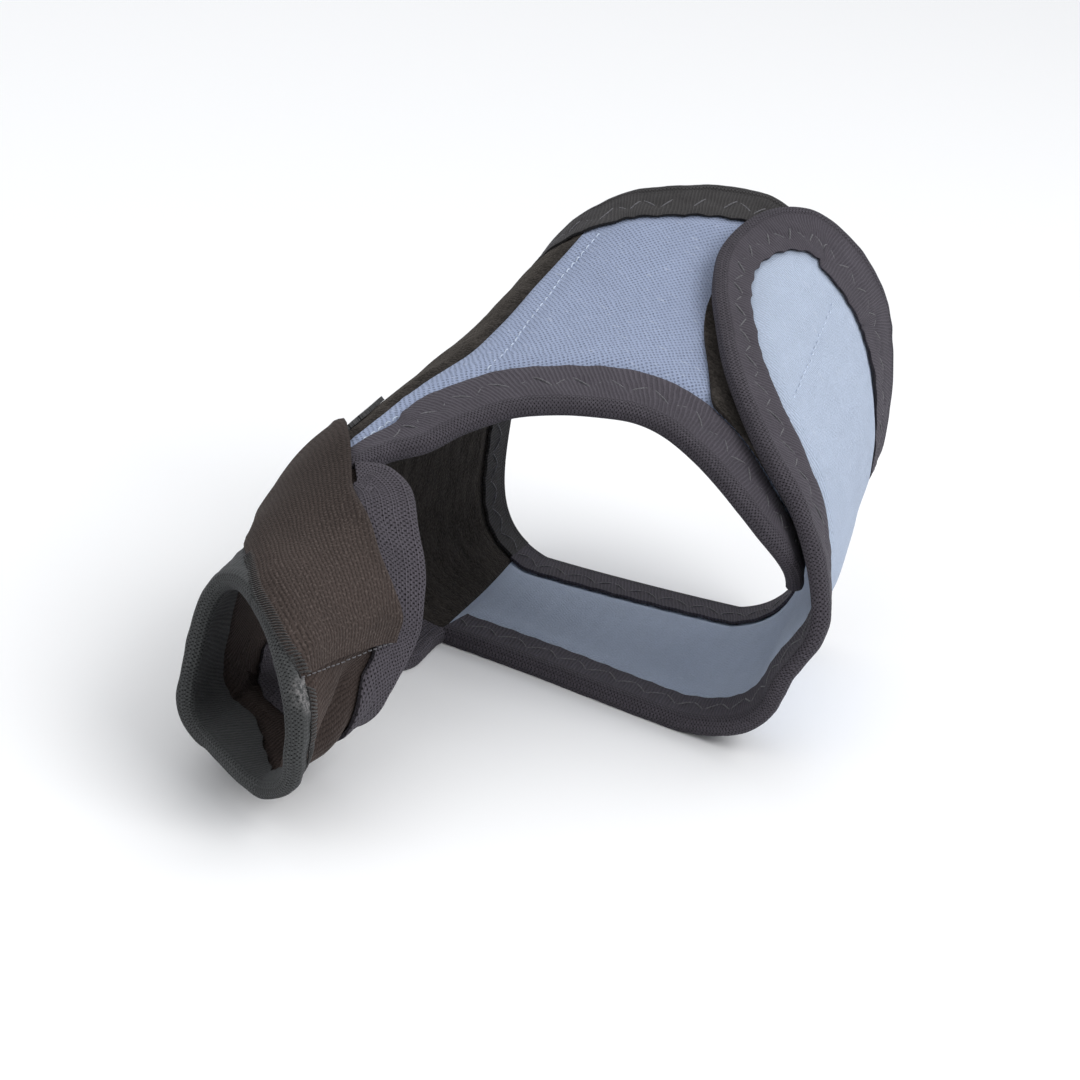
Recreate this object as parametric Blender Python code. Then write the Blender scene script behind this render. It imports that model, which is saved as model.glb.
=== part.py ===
"""A bunion corrector for the left side, in metres with +Z up.

A padded band closes round the middle of a last, which is the form that a brace
is made on. A cuff sits on the last's narrow front, and an elastic strap pulls
the cuff back towards the band. Every piece is laid on the last: a place is how
far along the last it lies, how far round it, and its height above the surface.
Along runs from 0 at the front to 1 at the back. Around is 0 on the ridge, grows
down the outer side to 1 on the middle of the sole and goes on up the inner side
to 2, back on the ridge, so an inner place may also be written as a minus value.
"""

import bmesh
import bpy
import numpy as np
from mathutils import Vector, geometry

MM = 0.001

# The last's own sizes. The rows below hold shares of these three.
LAST_LENGTH = 180.0 * MM
LAST_WIDTH = 80.0 * MM
LAST_HEIGHT = 92.0 * MM

# Cloth, tape and the gap that is left between two pieces.
LAMINATE = 2.4 * MM
TAPE = 0.5 * MM
TAPE_WIDTH = 9.0 * MM
PATCH = 0.55 * MM
ELASTIC = 1.2 * MM
GAP = 0.3 * MM
TAPE_GAP = 0.48 * MM
STRAP_SLACK = 0.35 * MM

# Distances over which the cloth swells from a pressed edge to its full wall.
SWELL = 2.2 * MM
SEAM_SWELL = 2.6 * MM
MARGIN = 0.6 * MM

# Spacing of the points that the pieces are built from.
EDGE_STEP = 4.5 * MM
FILL_STEP = 5.6 * MM

# Steps in which an edge is moved across the last.
SHIFT_STEPS = 4

# Heights above the last, worked out from the sizes above.
FACE = GAP + LAMINATE
PRESSED_IN = TAPE + TAPE_GAP
PRESSED_OUT = FACE - TAPE - TAPE_GAP
LOOP_IN = FACE + GAP
LOOP_OUT = LOOP_IN + PATCH
HOOK_IN = LOOP_OUT + GAP
HOOK_OUT = HOOK_IN + PATCH
LAP = HOOK_OUT
STRAP_IN = FACE + GAP + STRAP_SLACK
TAB_IN = FACE + GAP
TAB_OUT = TAB_IN + PATCH

# A whole turn of around.
WHOLE_TURN = 2.0

# How square the section is: the outer top, the inner top and the sole corners.
ROUND_OUTER, ROUND_INNER, ROUND_SOLE = 2.15, 2.7, 4.0
SOLE_FLAT = 0.96

# One row for each section of the last. Along is a share of the length; inner,
# outer and ridge are shares of the width; side, top and sole of the height.
LAST_COLUMNS = ("along", "inner", "outer", "ridge", "side", "top", "sole")
LAST_ROWS = (
    (0.000, -0.425, -0.200, -0.313, 0.109, 0.207, 0.033),
    (0.083, -0.450, -0.200, -0.325, 0.145, 0.261, 0.043),
    (0.167, -0.463, -0.213, -0.350, 0.165, 0.293, 0.065),
    (0.250, -0.473, -0.200, -0.363, 0.185, 0.326, 0.076),
    (0.333, -0.498, -0.113, -0.350, 0.196, 0.370, 0.043),
    (0.417, -0.521, 0.163, -0.300, 0.196, 0.413, 0.011),
    (0.500, -0.517, 0.408, -0.213, 0.201, 0.473, 0.000),
    (0.583, -0.496, 0.364, -0.138, 0.219, 0.538, 0.000),
    (0.667, -0.469, 0.346, -0.119, 0.233, 0.609, 0.000),
    (0.750, -0.444, 0.318, -0.119, 0.272, 0.685, 0.000),
    (0.833, -0.425, 0.297, -0.125, 0.304, 0.772, 0.000),
    (0.917, -0.413, 0.284, -0.125, 0.348, 0.870, 0.000),
    (1.000, -0.400, 0.278, -0.125, 0.391, 1.000, 0.000),
)

# Where the cuff's wall meets the band's two panels.
JOIN = 0.340

# Edges of the pieces, one row for each point: along and around, and on a taped
# edge the tape's width there as a share of its full width.
INSTEP_SEAM = (
    (JOIN, -0.160), (0.400, -0.166), (0.445, -0.171), (0.490, -0.178), (0.527, -0.178),
    (0.613, -0.176), (0.673, -0.173), (0.728, -0.157), (0.770, -0.144), (0.801, -0.140),
)
INSTEP_FRONT = (
    (0.365, -0.062, 0.40), (0.392, -0.043, 0.55), (0.419, -0.006, 0.85), (0.453, -0.003, 1.05),
    (0.474, 0.005, 1.05), (0.494, 0.019, 1.05), (0.513, 0.057, 1.05), (0.526, 0.097, 1.05),
    (0.537, 0.140, 1.05), (0.539, 0.187, 1.05), (0.533, 0.248, 1.05), (0.523, 0.319, 1.00),
    (0.519, 0.354, 1.00), (0.517, 0.400, 1.00), (0.520, 0.445, 1.00), (0.524, 0.485, 1.00),
)
INSTEP_REAR = (
    (0.801, -0.140, 0.85), (0.809, -0.106, 0.85), (0.818, -0.046, 0.85), (0.831, 0.010, 0.85),
    (0.843, 0.061, 0.85), (0.853, 0.101, 0.85), (0.857, 0.142, 0.85), (0.856, 0.205, 0.85),
    (0.849, 0.300, 0.85), (0.836, 0.400, 0.85), (0.824, 0.485, 0.85),
)
MEDIAL_REAR = (
    (0.801, -0.140, 0.85), (0.800, -0.200, 0.85), (0.800, -0.300, 0.85), (0.802, -0.450, 0.85),
    (0.806, -0.600, 0.85), (0.811, -0.785, 0.85),
)
MEDIAL_FRONT = ((JOIN, -0.160), (JOIN, -0.300), (JOIN, -0.450), (JOIN, -0.600), (JOIN, -0.760))
MEDIAL_EDGE = (
    (JOIN, -0.760, 0.60), (0.380, -0.765, 0.65), (0.430, -0.765, 0.80), (0.490, -0.770, 1.00),
    (0.530, -0.775, 1.00), (0.560, -0.785, 1.00),
)
PLANTAR_SEAM = ((0.560, -0.785), (0.640, -0.785), (0.720, -0.785), (0.811, -0.785))

# The closing strap's rim from the seam under the sole, up the outer side, round
# its end and back down, with the tape's share.
STRAP_RIM = (
    (0.566, 1.212, 0.95), (0.556, 1.100, 0.95), (0.549, 1.000, 0.95), (0.539, 0.900, 0.95),
    (0.528, 0.780, 0.95), (0.518, 0.690, 0.95), (0.511, 0.610, 0.95), (0.509, 0.545, 0.95),
    (0.514, 0.491, 0.95), (0.528, 0.445, 0.97), (0.546, 0.388, 1.00), (0.559, 0.323, 0.95),
    (0.586, 0.253, 0.80), (0.627, 0.181, 0.62), (0.673, 0.130, 0.55), (0.706, 0.105, 0.55),
    (0.742, 0.090, 0.60), (0.777, 0.094, 0.70), (0.808, 0.110, 0.85), (0.833, 0.134, 1.05),
    (0.853, 0.167, 1.25), (0.866, 0.212, 1.35), (0.880, 0.270, 1.45), (0.890, 0.326, 1.50),
    (0.890, 0.380, 1.45), (0.882, 0.447, 1.25), (0.868, 0.525, 1.00), (0.853, 0.640, 0.95),
    (0.838, 0.780, 0.95), (0.825, 0.900, 0.95), (0.817, 1.000, 0.95), (0.812, 1.100, 0.95),
    (0.809, 1.212, 0.95),
)
STRAP_SEAM = ((0.809, 1.212), (0.720, 1.212), (0.640, 1.212), (0.566, 1.212))

# Where the strap climbs from the last on to the band's own end.
LAP_FROM, LAP_TO = 0.625, 0.505

# The cuff's two rims, all the way round: around, and how far along each rim lies.
CUFF_STATIONS = 39
CUFF_MARGIN = 1.0 * MM
CUFF_ROWS = (
    (0.000, 0.146, 0.366), (0.100, 0.123, 0.349), (0.200, 0.101, 0.318), (0.300, 0.090, 0.303),
    (0.400, 0.086, 0.290), (0.500, 0.086, 0.283), (0.600, 0.092, 0.269), (0.725, 0.101, 0.254),
    (0.850, 0.112, 0.256), (1.000, 0.130, 0.275), (1.120, 0.146, 0.300), (1.200, 0.156, 0.322),
    (1.250, 0.160, JOIN), (1.400, 0.172, JOIN), (1.600, 0.182, JOIN), (1.740, 0.184, JOIN),
    (1.840, 0.176, JOIN), (1.890, 0.169, 0.346), (1.935, 0.160, 0.358), (1.968, 0.153, 0.364),
)

# Past this much of the turn a place on the cuff is written as a minus value.
CUFF_BACK = 1.6

# The tape on the cuff's rear rim starts beside the instep panel and turns on to
# the medial panel's own edge.
CUFF_TAPE_START, CUFF_TAPE_TURN = -0.030, 1.225
CORNER_TAPE = ((1.000, 1.00), (1.200, 0.60))

# The fold that runs down the side of the cuff: along, around, depth as a share.
CUFF_FOLD_DEPTH = 2.6 * MM
CUFF_FOLD_WIDTH = 3.4 * MM
CUFF_FOLD = ((0.222, 0.430, 0.35), (0.190, 0.520, 1.00), (0.150, 0.620, 1.00), (0.115, 0.740, 0.45))

# The elastic strap, from its sewn end beside the cuff to its hooked end.
ELASTIC_FRONT = (
    (0.101, 0.268), (0.106, 0.160), (0.122, 0.080), (0.153, -0.025), (0.200, -0.128),
    (0.252, -0.225), (0.305, -0.320), (0.352, -0.410), (0.392, -0.490), (0.420, -0.555),
)
ELASTIC_REAR = (
    (0.255, 0.470), (0.258, 0.400), (0.259, 0.301), (0.267, 0.213), (0.286, 0.125), (0.311, 0.021),
    (0.351, -0.062), (0.408, -0.152), (0.448, -0.215), (0.478, -0.300), (0.500, -0.390),
)
HOOK_TAB = ((0.440, -0.215), (0.472, -0.208), (0.527, -0.240), (0.520, -0.400), (0.440, -0.530), (0.440, -0.360))

LOOP_START, LOOP_END = 0.186, 0.476
HOOK_START, HOOK_END = 0.165, 0.440


def columns(rows):
    """The table's columns as arrays."""
    return np.array(rows, float).T


def eased(low, high, value):
    """0 up to low, 1 from high on, and a smooth climb between."""
    share = np.clip((value - low) / (high - low), 0.0, 1.0)
    return share * share * (3.0 - 2.0 * share)


def fitted(known, values, wanted):
    """A smooth curve through the values that never swings past them."""
    steps = np.diff(known)
    slopes = np.diff(values) / steps
    inner = np.where(
        slopes[:-1] * slopes[1:] > 0,
        2 * slopes[:-1] * slopes[1:] / (slopes[:-1] + slopes[1:] + 1e-15),
        0.0,
    )
    tangents = np.concatenate([slopes[:1], inner, slopes[-1:]])
    index = np.clip(np.searchsorted(known, wanted) - 1, 0, len(steps) - 1)
    step = steps[index]
    t = (wanted - known[index]) / step
    return (
        values[index] * (1 + 2 * t) * (1 - t) ** 2
        + values[index + 1] * t * t * (3 - 2 * t)
        + tangents[index] * step * t * (1 - t) ** 2
        + tangents[index + 1] * step * t * t * (t - 1)
    )


class Last:
    """The form that the brace closes round, as a fine grid of surface points."""

    ALONG = np.linspace(-0.02, 1.02, 209)
    AROUND = np.linspace(0.0, WHOLE_TURN, 401)
    QUARTER = np.linspace(0.0, 1.0, 61)

    def __init__(self):
        table = columns(LAST_ROWS)
        named = dict(zip(LAST_COLUMNS, table))
        sized = {}
        for name in LAST_COLUMNS[1:]:
            size = LAST_WIDTH if name in ("inner", "outer", "ridge") else LAST_HEIGHT
            sized[name] = size * fitted(named["along"], named[name], self.ALONG)
        self.grid = np.empty((len(self.ALONG), len(self.AROUND), 3))
        for row, along in enumerate(self.ALONG):
            x, z = self.section({name: values[row] for name, values in sized.items()})
            self.grid[row] = np.stack([x, np.full(len(x), along * LAST_LENGTH), z], -1)

    def section(self, size):
        """x and z at each of AROUND: from the ridge over the outer side, the sole and the inner side."""
        turn = self.QUARTER * np.pi / 2
        sine, cosine = np.sin(turn), np.cos(turn)
        middle = (size["inner"] + size["outer"]) / 2
        drop = np.minimum(sine ** (2 / ROUND_SOLE), SOLE_FLAT) / SOLE_FLAT
        spread = cosine ** (2 / ROUND_SOLE)
        low = size["side"] + (size["sole"] - size["side"]) * drop
        rise = size["top"] - size["side"]
        sides = []
        for edge, roundness in ((size["outer"], ROUND_OUTER), (size["inner"], ROUND_INNER)):
            over_x = size["ridge"] + (edge - size["ridge"]) * sine ** (2 / roundness)
            over_z = size["side"] + rise * cosine ** (2 / roundness)
            x = np.concatenate([over_x, (middle + (edge - middle) * spread)[1:]])
            z = np.concatenate([over_z, low[1:]])
            run = np.concatenate([[0.0], np.cumsum(np.hypot(np.diff(x), np.diff(z)))])
            sides.append((run / run[-1], x, z))
        half = len(self.AROUND) // 2
        share = self.AROUND[: half + 1]
        outer = [np.interp(share, sides[0][0], axis) for axis in sides[0][1:]]
        inner = [np.interp(share, sides[1][0], axis)[::-1] for axis in sides[1][1:]]
        return [np.concatenate([a, b[1:]]) for a, b in zip(outer, inner)]

    def surface(self, along, around):
        """The points of the last's surface at these places."""
        row = (along - self.ALONG[0]) / (self.ALONG[1] - self.ALONG[0])
        row = np.clip(row, 0.0, len(self.ALONG) - 1.001)
        i = row.astype(int)
        a = (row - i)[..., None]
        steps = len(self.AROUND) - 1
        turn = np.mod(around, WHOLE_TURN) * steps / WHOLE_TURN
        j = np.minimum(turn.astype(int), steps - 1)
        b = (turn - j)[..., None]
        near = self.grid[i, j] * (1 - b) + self.grid[i, j + 1] * b
        far = self.grid[i + 1, j] * (1 - b) + self.grid[i + 1, j + 1] * b
        return near * (1 - a) + far * a

    def slopes(self, along, around):
        """How the surface point moves for a unit of along and a unit of around."""
        step, turn = 0.008, 0.012
        by_along = (self.surface(along + step, around) - self.surface(along - step, around)) / (2 * step)
        by_around = (self.surface(along, around + turn) - self.surface(along, around - turn)) / (2 * turn)
        return by_along, by_around

    def normal(self, along, around):
        by_along, by_around = self.slopes(along, around)
        across = np.cross(by_around, by_along)
        return across / np.linalg.norm(across, axis=-1, keepdims=True)

    def place(self, along, around, height):
        """The point this high above the last at each place."""
        along, around, height = np.broadcast_arrays(
            np.asarray(along, float), np.asarray(around, float), np.asarray(height, float)
        )
        return self.surface(along, around) + self.normal(along, around) * height[..., None]


last = Last()


def curve_through(rows, closed=False):
    """Points of a smooth curve through the rows, spaced about EDGE_STEP apart on the last."""
    points = np.array(rows, float)
    if closed:
        padded = np.vstack([points[-1:], points, points[:2]])
    else:
        padded = np.vstack([2 * points[0] - points[1], points, 2 * points[-1] - points[-2]])
    fine = []
    share = np.linspace(0.0, 1.0, 12, endpoint=False)[:, None]
    for before, start, end, after in zip(padded, padded[1:], padded[2:], padded[3:]):
        fine.append(
            0.5
            * (
                2 * start
                + (end - before) * share
                + (2 * before - 5 * start + 4 * end - after) * share**2
                + (3 * start - before - 3 * end + after) * share**3
            )
        )
    fine = np.vstack(fine + [padded[-2:-1]])
    spots = last.place(fine[:, 0], fine[:, 1], FACE)
    run = np.concatenate([[0.0], np.cumsum(np.linalg.norm(np.diff(spots, axis=0), axis=1))])
    count = max(2, int(round(run[-1] / EDGE_STEP)) + 1)
    even = np.linspace(0.0, run[-1], count)
    path = np.stack([np.interp(even, run, fine[:, k]) for k in range(fine.shape[1])], -1)
    return path[:-1] if closed else path


def inward(path, side, closed=False):
    """For each point of the path, how along and around change in a metre straight in from the edge."""
    spots = last.place(path[:, 0], path[:, 1], FACE)
    if closed:
        ahead = np.roll(spots, -1, axis=0) - np.roll(spots, 1, axis=0)
    else:
        ahead = np.gradient(spots, axis=0)
    ahead /= np.linalg.norm(ahead, axis=1, keepdims=True)
    across = side * np.cross(last.normal(path[:, 0], path[:, 1]), ahead)
    by_along, by_around = last.slopes(path[:, 0], path[:, 1])
    aa, ab, bb = [(p * q).sum(1) for p, q in ((by_along,) * 2, (by_along, by_around), (by_around,) * 2)]
    da, db = (across * by_along).sum(1), (across * by_around).sum(1)
    whole = aa * bb - ab * ab
    return np.stack([(da * bb - db * ab) / whole, (db * aa - da * ab) / whole], -1)


def shifted(path, side, distance, closed=False):
    """The path moved in from its edge by this distance over the last, in a few short steps."""
    spots = path[:, :2]
    for _ in range(SHIFT_STEPS):
        spots = spots + inward(spots, side, closed) * np.reshape(distance, (-1, 1)) / SHIFT_STEPS
    return spots


def beyond(spots, edge, widths):
    """How far each spot lies past a band of these widths along the edge."""
    starts, lines = edge[:-1], np.diff(edge, axis=0)
    offset = spots[:, None] - starts[None]
    share = np.clip((offset * lines).sum(2) / (lines * lines).sum(1), 0.0, 1.0)
    apart = np.linalg.norm(offset - share[..., None] * lines, axis=2)
    return (apart - widths[:-1] - share * np.diff(widths)).min(1)


def inside(places, loop):
    """Whether each place lies inside the closed loop."""
    x, y = places[:, 0][:, None], places[:, 1][:, None]
    x0, y0 = loop[:, 0][None], loop[:, 1][None]
    x1, y1 = np.roll(x0, -1, 1), np.roll(y0, -1, 1)
    spans = (y0 > y) != (y1 > y)
    safe = np.where(y1 == y0, 1.0, y1 - y0)
    return (spans & (x < x0 + (x1 - x0) * (y - y0) / safe)).sum(1) % 2 == 1


def finished(name, points, faces, look):
    """An object from points and faces, closed, with its faces turned outwards."""
    shape = bmesh.new()
    corners = [shape.verts.new(point) for point in points]
    for face in faces:
        shape.faces.new([corners[index] for index in face])
    bmesh.ops.recalc_face_normals(shape, faces=shape.faces)
    mesh = bpy.data.meshes.new(name)
    shape.to_mesh(mesh)
    shape.free()
    mesh.shade_smooth()
    mesh.set_sharp_from_angle(angle=np.radians(40.0))
    mesh.materials.append(look)
    made = bpy.data.objects.new(name, mesh)
    bpy.context.scene.collection.objects.link(made)
    return made


def sheet(name, runs, girth, heights, look):
    """A sheet of cloth inside the closed loop of runs, with a wall between two heights.

    Each run is (path, widths): widths of its tape in metres, or None on a seam.
    The runs go round the sheet with its cloth on their left, seen from outside.
    heights(along, around, past_tape, from_seam) gives the inner and outer height.
    """
    loop = []
    for number, (path, _) in enumerate(runs):
        trimmed = shifted(path, 1.0, GAP / 2)
        corner_way = inward(path, 1.0)[0] + inward(runs[number - 1][0], 1.0)[-1]
        trimmed[0] = path[0, :2] + corner_way * GAP / 2
        loop.append(trimmed[:-1])
    loop = np.vstack(loop)
    edges = [(last.surface(path[:, 0], path[:, 1]), widths) for path, widths in runs]

    def distances(places):
        """How far each place lies past the nearest tape, from the nearest seam and from any edge."""
        spots = last.surface(places[:, 0], places[:, 1])
        far = np.full(len(spots), 1.0)
        none = [np.zeros(len(edge)) for edge, _ in edges]
        apart = [beyond(spots, edge, zero) for (edge, _), zero in zip(edges, none)]
        tapes = [beyond(spots, edge, widths) for edge, widths in edges if widths is not None]
        seams = [gap for gap, (_, widths) in zip(apart, edges) if widths is None]
        return np.min([far] + tapes, axis=0), np.min([far] + seams, axis=0), np.min(apart, axis=0)

    fill = []
    for path, widths in runs:
        own = np.zeros(len(path)) if widths is None else widths
        for depth in (own + SEAM_SWELL,) if widths is None else (own / 2, own, own + SWELL + MARGIN):
            ring = shifted(path, 1.0, depth)
            past_tape, from_seam, from_edge = distances(ring)
            past = from_seam if widths is None else past_tape
            fill.append(ring[(past > depth * 0.93 - own) & (from_edge > EDGE_STEP * 0.3)])
    low, high = loop.min(0), loop.max(0)
    steps = np.array([FILL_STEP / LAST_LENGTH, FILL_STEP / girth])
    spread = [np.arange(low[k] + steps[k] / 2, high[k], steps[k]) for k in (0, 1)]
    grid = np.stack(np.meshgrid(*spread, indexing="ij"), -1).reshape(-1, 2)
    grid = grid[inside(grid, loop)]
    rings = thinned(np.vstack(fill))
    rings = rings[inside(rings, loop)]
    spots, rivals = last.surface(*grid.T), last.surface(*rings.T)
    clear = np.linalg.norm(spots[:, None] - rivals[None], axis=2).min(1) > FILL_STEP * 0.6
    grid = grid[clear & (distances(grid)[2] > FILL_STEP * 0.6)]
    places = np.vstack([loop, rings, grid])
    flat = [Vector((along * LAST_LENGTH / MM, around * girth / MM)) for along, around in places]
    rim = [(i, (i + 1) % len(loop)) for i in range(len(loop))]
    drawn, _, faces, _, _, _ = geometry.delaunay_2d_cdt(flat, rim, [], 1, 1e-4)
    places = np.array([(spot.x * MM / LAST_LENGTH, spot.y * MM / girth) for spot in drawn])
    past_tape, from_seam, _ = distances(places)
    return walled(name, places, faces, heights(*places.T, past_tape, from_seam), look)


def thinned(places):
    """The places without those that crowd an earlier one."""
    spots = last.surface(*places.T)
    kept = []
    for index, spot in enumerate(spots):
        if not kept or np.linalg.norm(spots[kept] - spot, axis=1).min() > EDGE_STEP * 0.4:
            kept.append(index)
    return places[kept]


def walled(name, places, faces, heights, look):
    """A closed wall from one flat set of faces and its two heights."""
    low, high = heights
    count = len(places)
    points = np.vstack([last.place(places[:, 0], places[:, 1], height) for height in (low, high)])
    uses = {}
    for face in faces:
        for start, end in zip(face, list(face[1:]) + [face[0]]):
            uses[(start, end)] = True
    rim = [edge for edge in uses if (edge[1], edge[0]) not in uses]
    whole = [[index + count for index in face] for face in faces]
    whole += [list(reversed(face)) for face in faces]
    whole += [[start, end, end + count, start + count] for start, end in rim]
    return finished(name, points, whole, look)


def wall_heights(lift=None):
    """Heights of padded cloth: pressed thin below a tape and at a seam, full between."""

    def heights(along, around, past_tape, from_seam):
        full = np.minimum(eased(MARGIN, SWELL + MARGIN, past_tape), eased(0.0, SEAM_SWELL, from_seam))
        raised = lift(along, around) if lift else 0.0
        low = PRESSED_IN + (GAP - PRESSED_IN) * full + raised
        high = PRESSED_OUT + (FACE - PRESSED_OUT) * full + raised
        return low, high

    return heights


def thin_heights(low, high):
    """Heights of an even layer."""

    def heights(along, around, past_tape, from_seam):
        return np.full(len(along), low), np.full(len(along), high)

    return heights


def tape(name, path, widths, side, look, lift=None, closed=False):
    """A binding tape folded over the edge: two legs on the cloth's faces and a round fold outside it."""
    half = widths / 2
    fold = np.full(len(path), -GAP / 2)
    outside = fold - TAPE
    outline = (
        (widths, FACE),
        (half, FACE),
        (0 * half, FACE),
        (outside, FACE * 0.7),
        (outside, FACE * 0.3),
        (0 * half, 0.0),
        (half, 0.0),
        (widths, 0.0),
        (widths, TAPE),
        (half, TAPE),
        (fold, TAPE),
        (fold, FACE - TAPE),
        (half, FACE - TAPE),
        (widths, FACE - TAPE),
    )
    rings = []
    for distance, height in outline:
        spot = shifted(path, side, distance, closed)
        raised = lift(*spot.T) if lift else 0.0
        rings.append(last.place(spot[:, 0], spot[:, 1], height + raised))
    points = np.stack(rings, 1)
    stations, size = points.shape[:2]
    faces = []
    for station in range(stations if closed else stations - 1):
        ahead = (station + 1) % stations
        for corner in range(size):
            following = (corner + 1) % size
            faces.append(
                [station * size + corner, station * size + following]
                + [ahead * size + following, ahead * size + corner]
            )
    if not closed:
        for station in (0, stations - 1):
            for corner in range(size // 2 - 1):
                facing = size - 1 - corner
                faces.append([station * size + k for k in (corner, corner + 1, facing - 1, facing)])
    return finished(name, points.reshape(-1, 3), faces, look)


def strap_lift(along, around):
    """The strap's climb on to the band's own end."""
    return LAP * (1.0 - eased(LAP_TO, LAP_FROM, around))


def cuff_rims():
    """The places along the cuff's front rim and its rear rim, round from the ridge."""
    table = columns(CUFF_ROWS)
    looped = np.concatenate([table, table[:, :1] + np.array([[WHOLE_TURN], [0.0], [0.0]])], 1)
    around = np.linspace(0.0, WHOLE_TURN, CUFF_STATIONS, endpoint=False)
    return [np.stack([fitted(looped[0], along, around), around], -1) for along in looped[1:]]


def cuff_dent(along, around):
    """Depth of the fold in the cuff's outer side."""
    rows = np.array(CUFF_FOLD)
    centre = last.surface(rows[:, 0], rows[:, 1])
    spots = last.surface(along, around)
    starts, lines = centre[:-1], np.diff(centre, axis=0)
    offset = spots[:, None] - starts[None]
    share = np.clip((offset * lines).sum(2) / (lines * lines).sum(1), 0.0, 1.0)
    apart = np.linalg.norm(offset - share[..., None] * lines, axis=2)
    depths = rows[:-1, 2] + share * np.diff(rows[:, 2])
    return CUFF_FOLD_DEPTH * (depths * np.exp(-((apart / CUFF_FOLD_WIDTH) ** 2))).max(1)


def make_look(name, colour, roughness):
    """A plain material in the piece's colour."""
    look = bpy.data.materials.new(name)
    look.use_nodes = True
    shader = look.node_tree.nodes["Principled BSDF"]
    shader.inputs["Base Color"].default_value = (*colour, 1.0)
    shader.inputs["Roughness"].default_value = roughness
    shader.inputs["Metallic"].default_value = 0.0
    look.diffuse_color = (*colour, 1.0)
    return look


def edge_of(rows):
    """A taped edge's path and its tape's widths in metres."""
    whole = curve_through(rows)
    return whole[:, :2], whole[:, 2] * TAPE_WIDTH


def make_instep_panel(look):
    """The blue panel over the instep, with a tongue that runs forward to the cuff."""
    front, front_widths = edge_of(INSTEP_FRONT)
    rear, rear_widths = edge_of(INSTEP_REAR)
    seam = curve_through(INSTEP_SEAM)
    tip = curve_through((INSTEP_SEAM[0], INSTEP_FRONT[0][:2]))
    end = curve_through((INSTEP_FRONT[-1][:2], INSTEP_REAR[-1][:2]))
    runs = (
        (front, front_widths),
        (end, None),
        (rear[::-1], rear_widths[::-1]),
        (seam[::-1], None),
        (tip, None),
    )
    return sheet("instep_panel", runs, 0.115, wall_heights(), look)


def make_medial_panel(look):
    """The velour panel on the inner side, from the instep seam to the sole."""
    rear, rear_widths = edge_of(MEDIAL_REAR)
    edge, edge_widths = edge_of(MEDIAL_EDGE)
    runs = (
        (curve_through(INSTEP_SEAM), None),
        (rear, rear_widths),
        (curve_through(PLANTAR_SEAM)[::-1], None),
        (edge[::-1], edge_widths[::-1]),
        (curve_through(MEDIAL_FRONT)[::-1], None),
    )
    return sheet("medial_panel", runs, 0.100, wall_heights(), look)


def make_closure_strap(look):
    """The strap under the sole and up the outer side, whose round end laps over the instep panel."""
    rim, widths = edge_of(STRAP_RIM)
    seam = curve_through(STRAP_SEAM)
    runs = ((rim[::-1], widths[::-1]), (seam[::-1], None))
    return sheet("closure_strap", runs, 0.115, wall_heights(strap_lift), look)


def make_loop_patch(look):
    """The fastening velour on the outer end of the instep panel."""
    around = np.linspace(LOOP_START, LOOP_END, 9)
    low = clear_of_tape(INSTEP_FRONT, 1.0, around)
    high = clear_of_tape(INSTEP_REAR, -1.0, around)
    return patch("loop_patch", around, low, high, LOOP_IN, LOOP_OUT, look)


def make_hook_patch(look):
    """The hook tape below the strap's end, which grips the loop patch."""
    around = np.linspace(HOOK_START, HOOK_END, 8)
    turn = min(range(len(STRAP_RIM)), key=lambda row: STRAP_RIM[row][1])
    low = clear_of_tape(STRAP_RIM[: turn + 1], -1.0, around)
    high = clear_of_tape(STRAP_RIM[turn:], -1.0, around)
    return patch("closure_hook_patch", around, low, high, HOOK_IN, HOOK_OUT, look)


def clear_of_tape(rows, side, around):
    """Where a patch may begin beside a taped edge, at each of these places around."""
    path, widths = edge_of(rows)
    clear = shifted(path, side, widths + 2 * GAP)
    order = np.argsort(clear[:, 1])
    return np.interp(around, clear[order, 1], clear[order, 0])


def patch(name, around, low, high, inner, outer, look):
    """A four-sided patch between two edges over a range of around."""
    front = curve_through(np.stack([low, around], -1))
    rear = curve_through(np.stack([high, around], -1))
    start = curve_through((rear[0], front[0]))
    end = curve_through((front[-1], rear[-1]))
    runs = ((front, None), (end, None), (rear[::-1], None), (start, None))
    return sheet(name, runs, 0.115, thin_heights(inner, outer), look)


def cuff_tape():
    """The path of the tape that runs on from the cuff's rear rim to the medial panel's edge."""
    rear = cuff_rims()[1]
    turn = np.where(rear[:, 1] > CUFF_BACK, rear[:, 1] - WHOLE_TURN, rear[:, 1])
    rim = np.stack([rear[:, 0], turn], -1)[np.argsort(turn)]
    rim = rim[(rim[:, 1] > CUFF_TAPE_START) & (rim[:, 1] < CUFF_TAPE_TURN)]
    rim_widths = TAPE_WIDTH * np.interp(rim[:, 1], *columns(CORNER_TAPE))
    edge, edge_widths = edge_of(MEDIAL_EDGE)
    rows = np.vstack([
        np.column_stack([rim, rim_widths]),
        np.column_stack([edge[1:-1] + [0.0, WHOLE_TURN], edge_widths[1:-1]]),
    ])
    close = []
    for row, following in zip(rows, rows[1:]):
        close.append(row)
        if row[1] > CORNER_TAPE[0][0] and row[0] < JOIN + 0.05:
            close.append((row + following) / 2)
    rows = np.array(close + [rows[-1]])
    return rows[:, :2], rows[:, 2]


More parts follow.
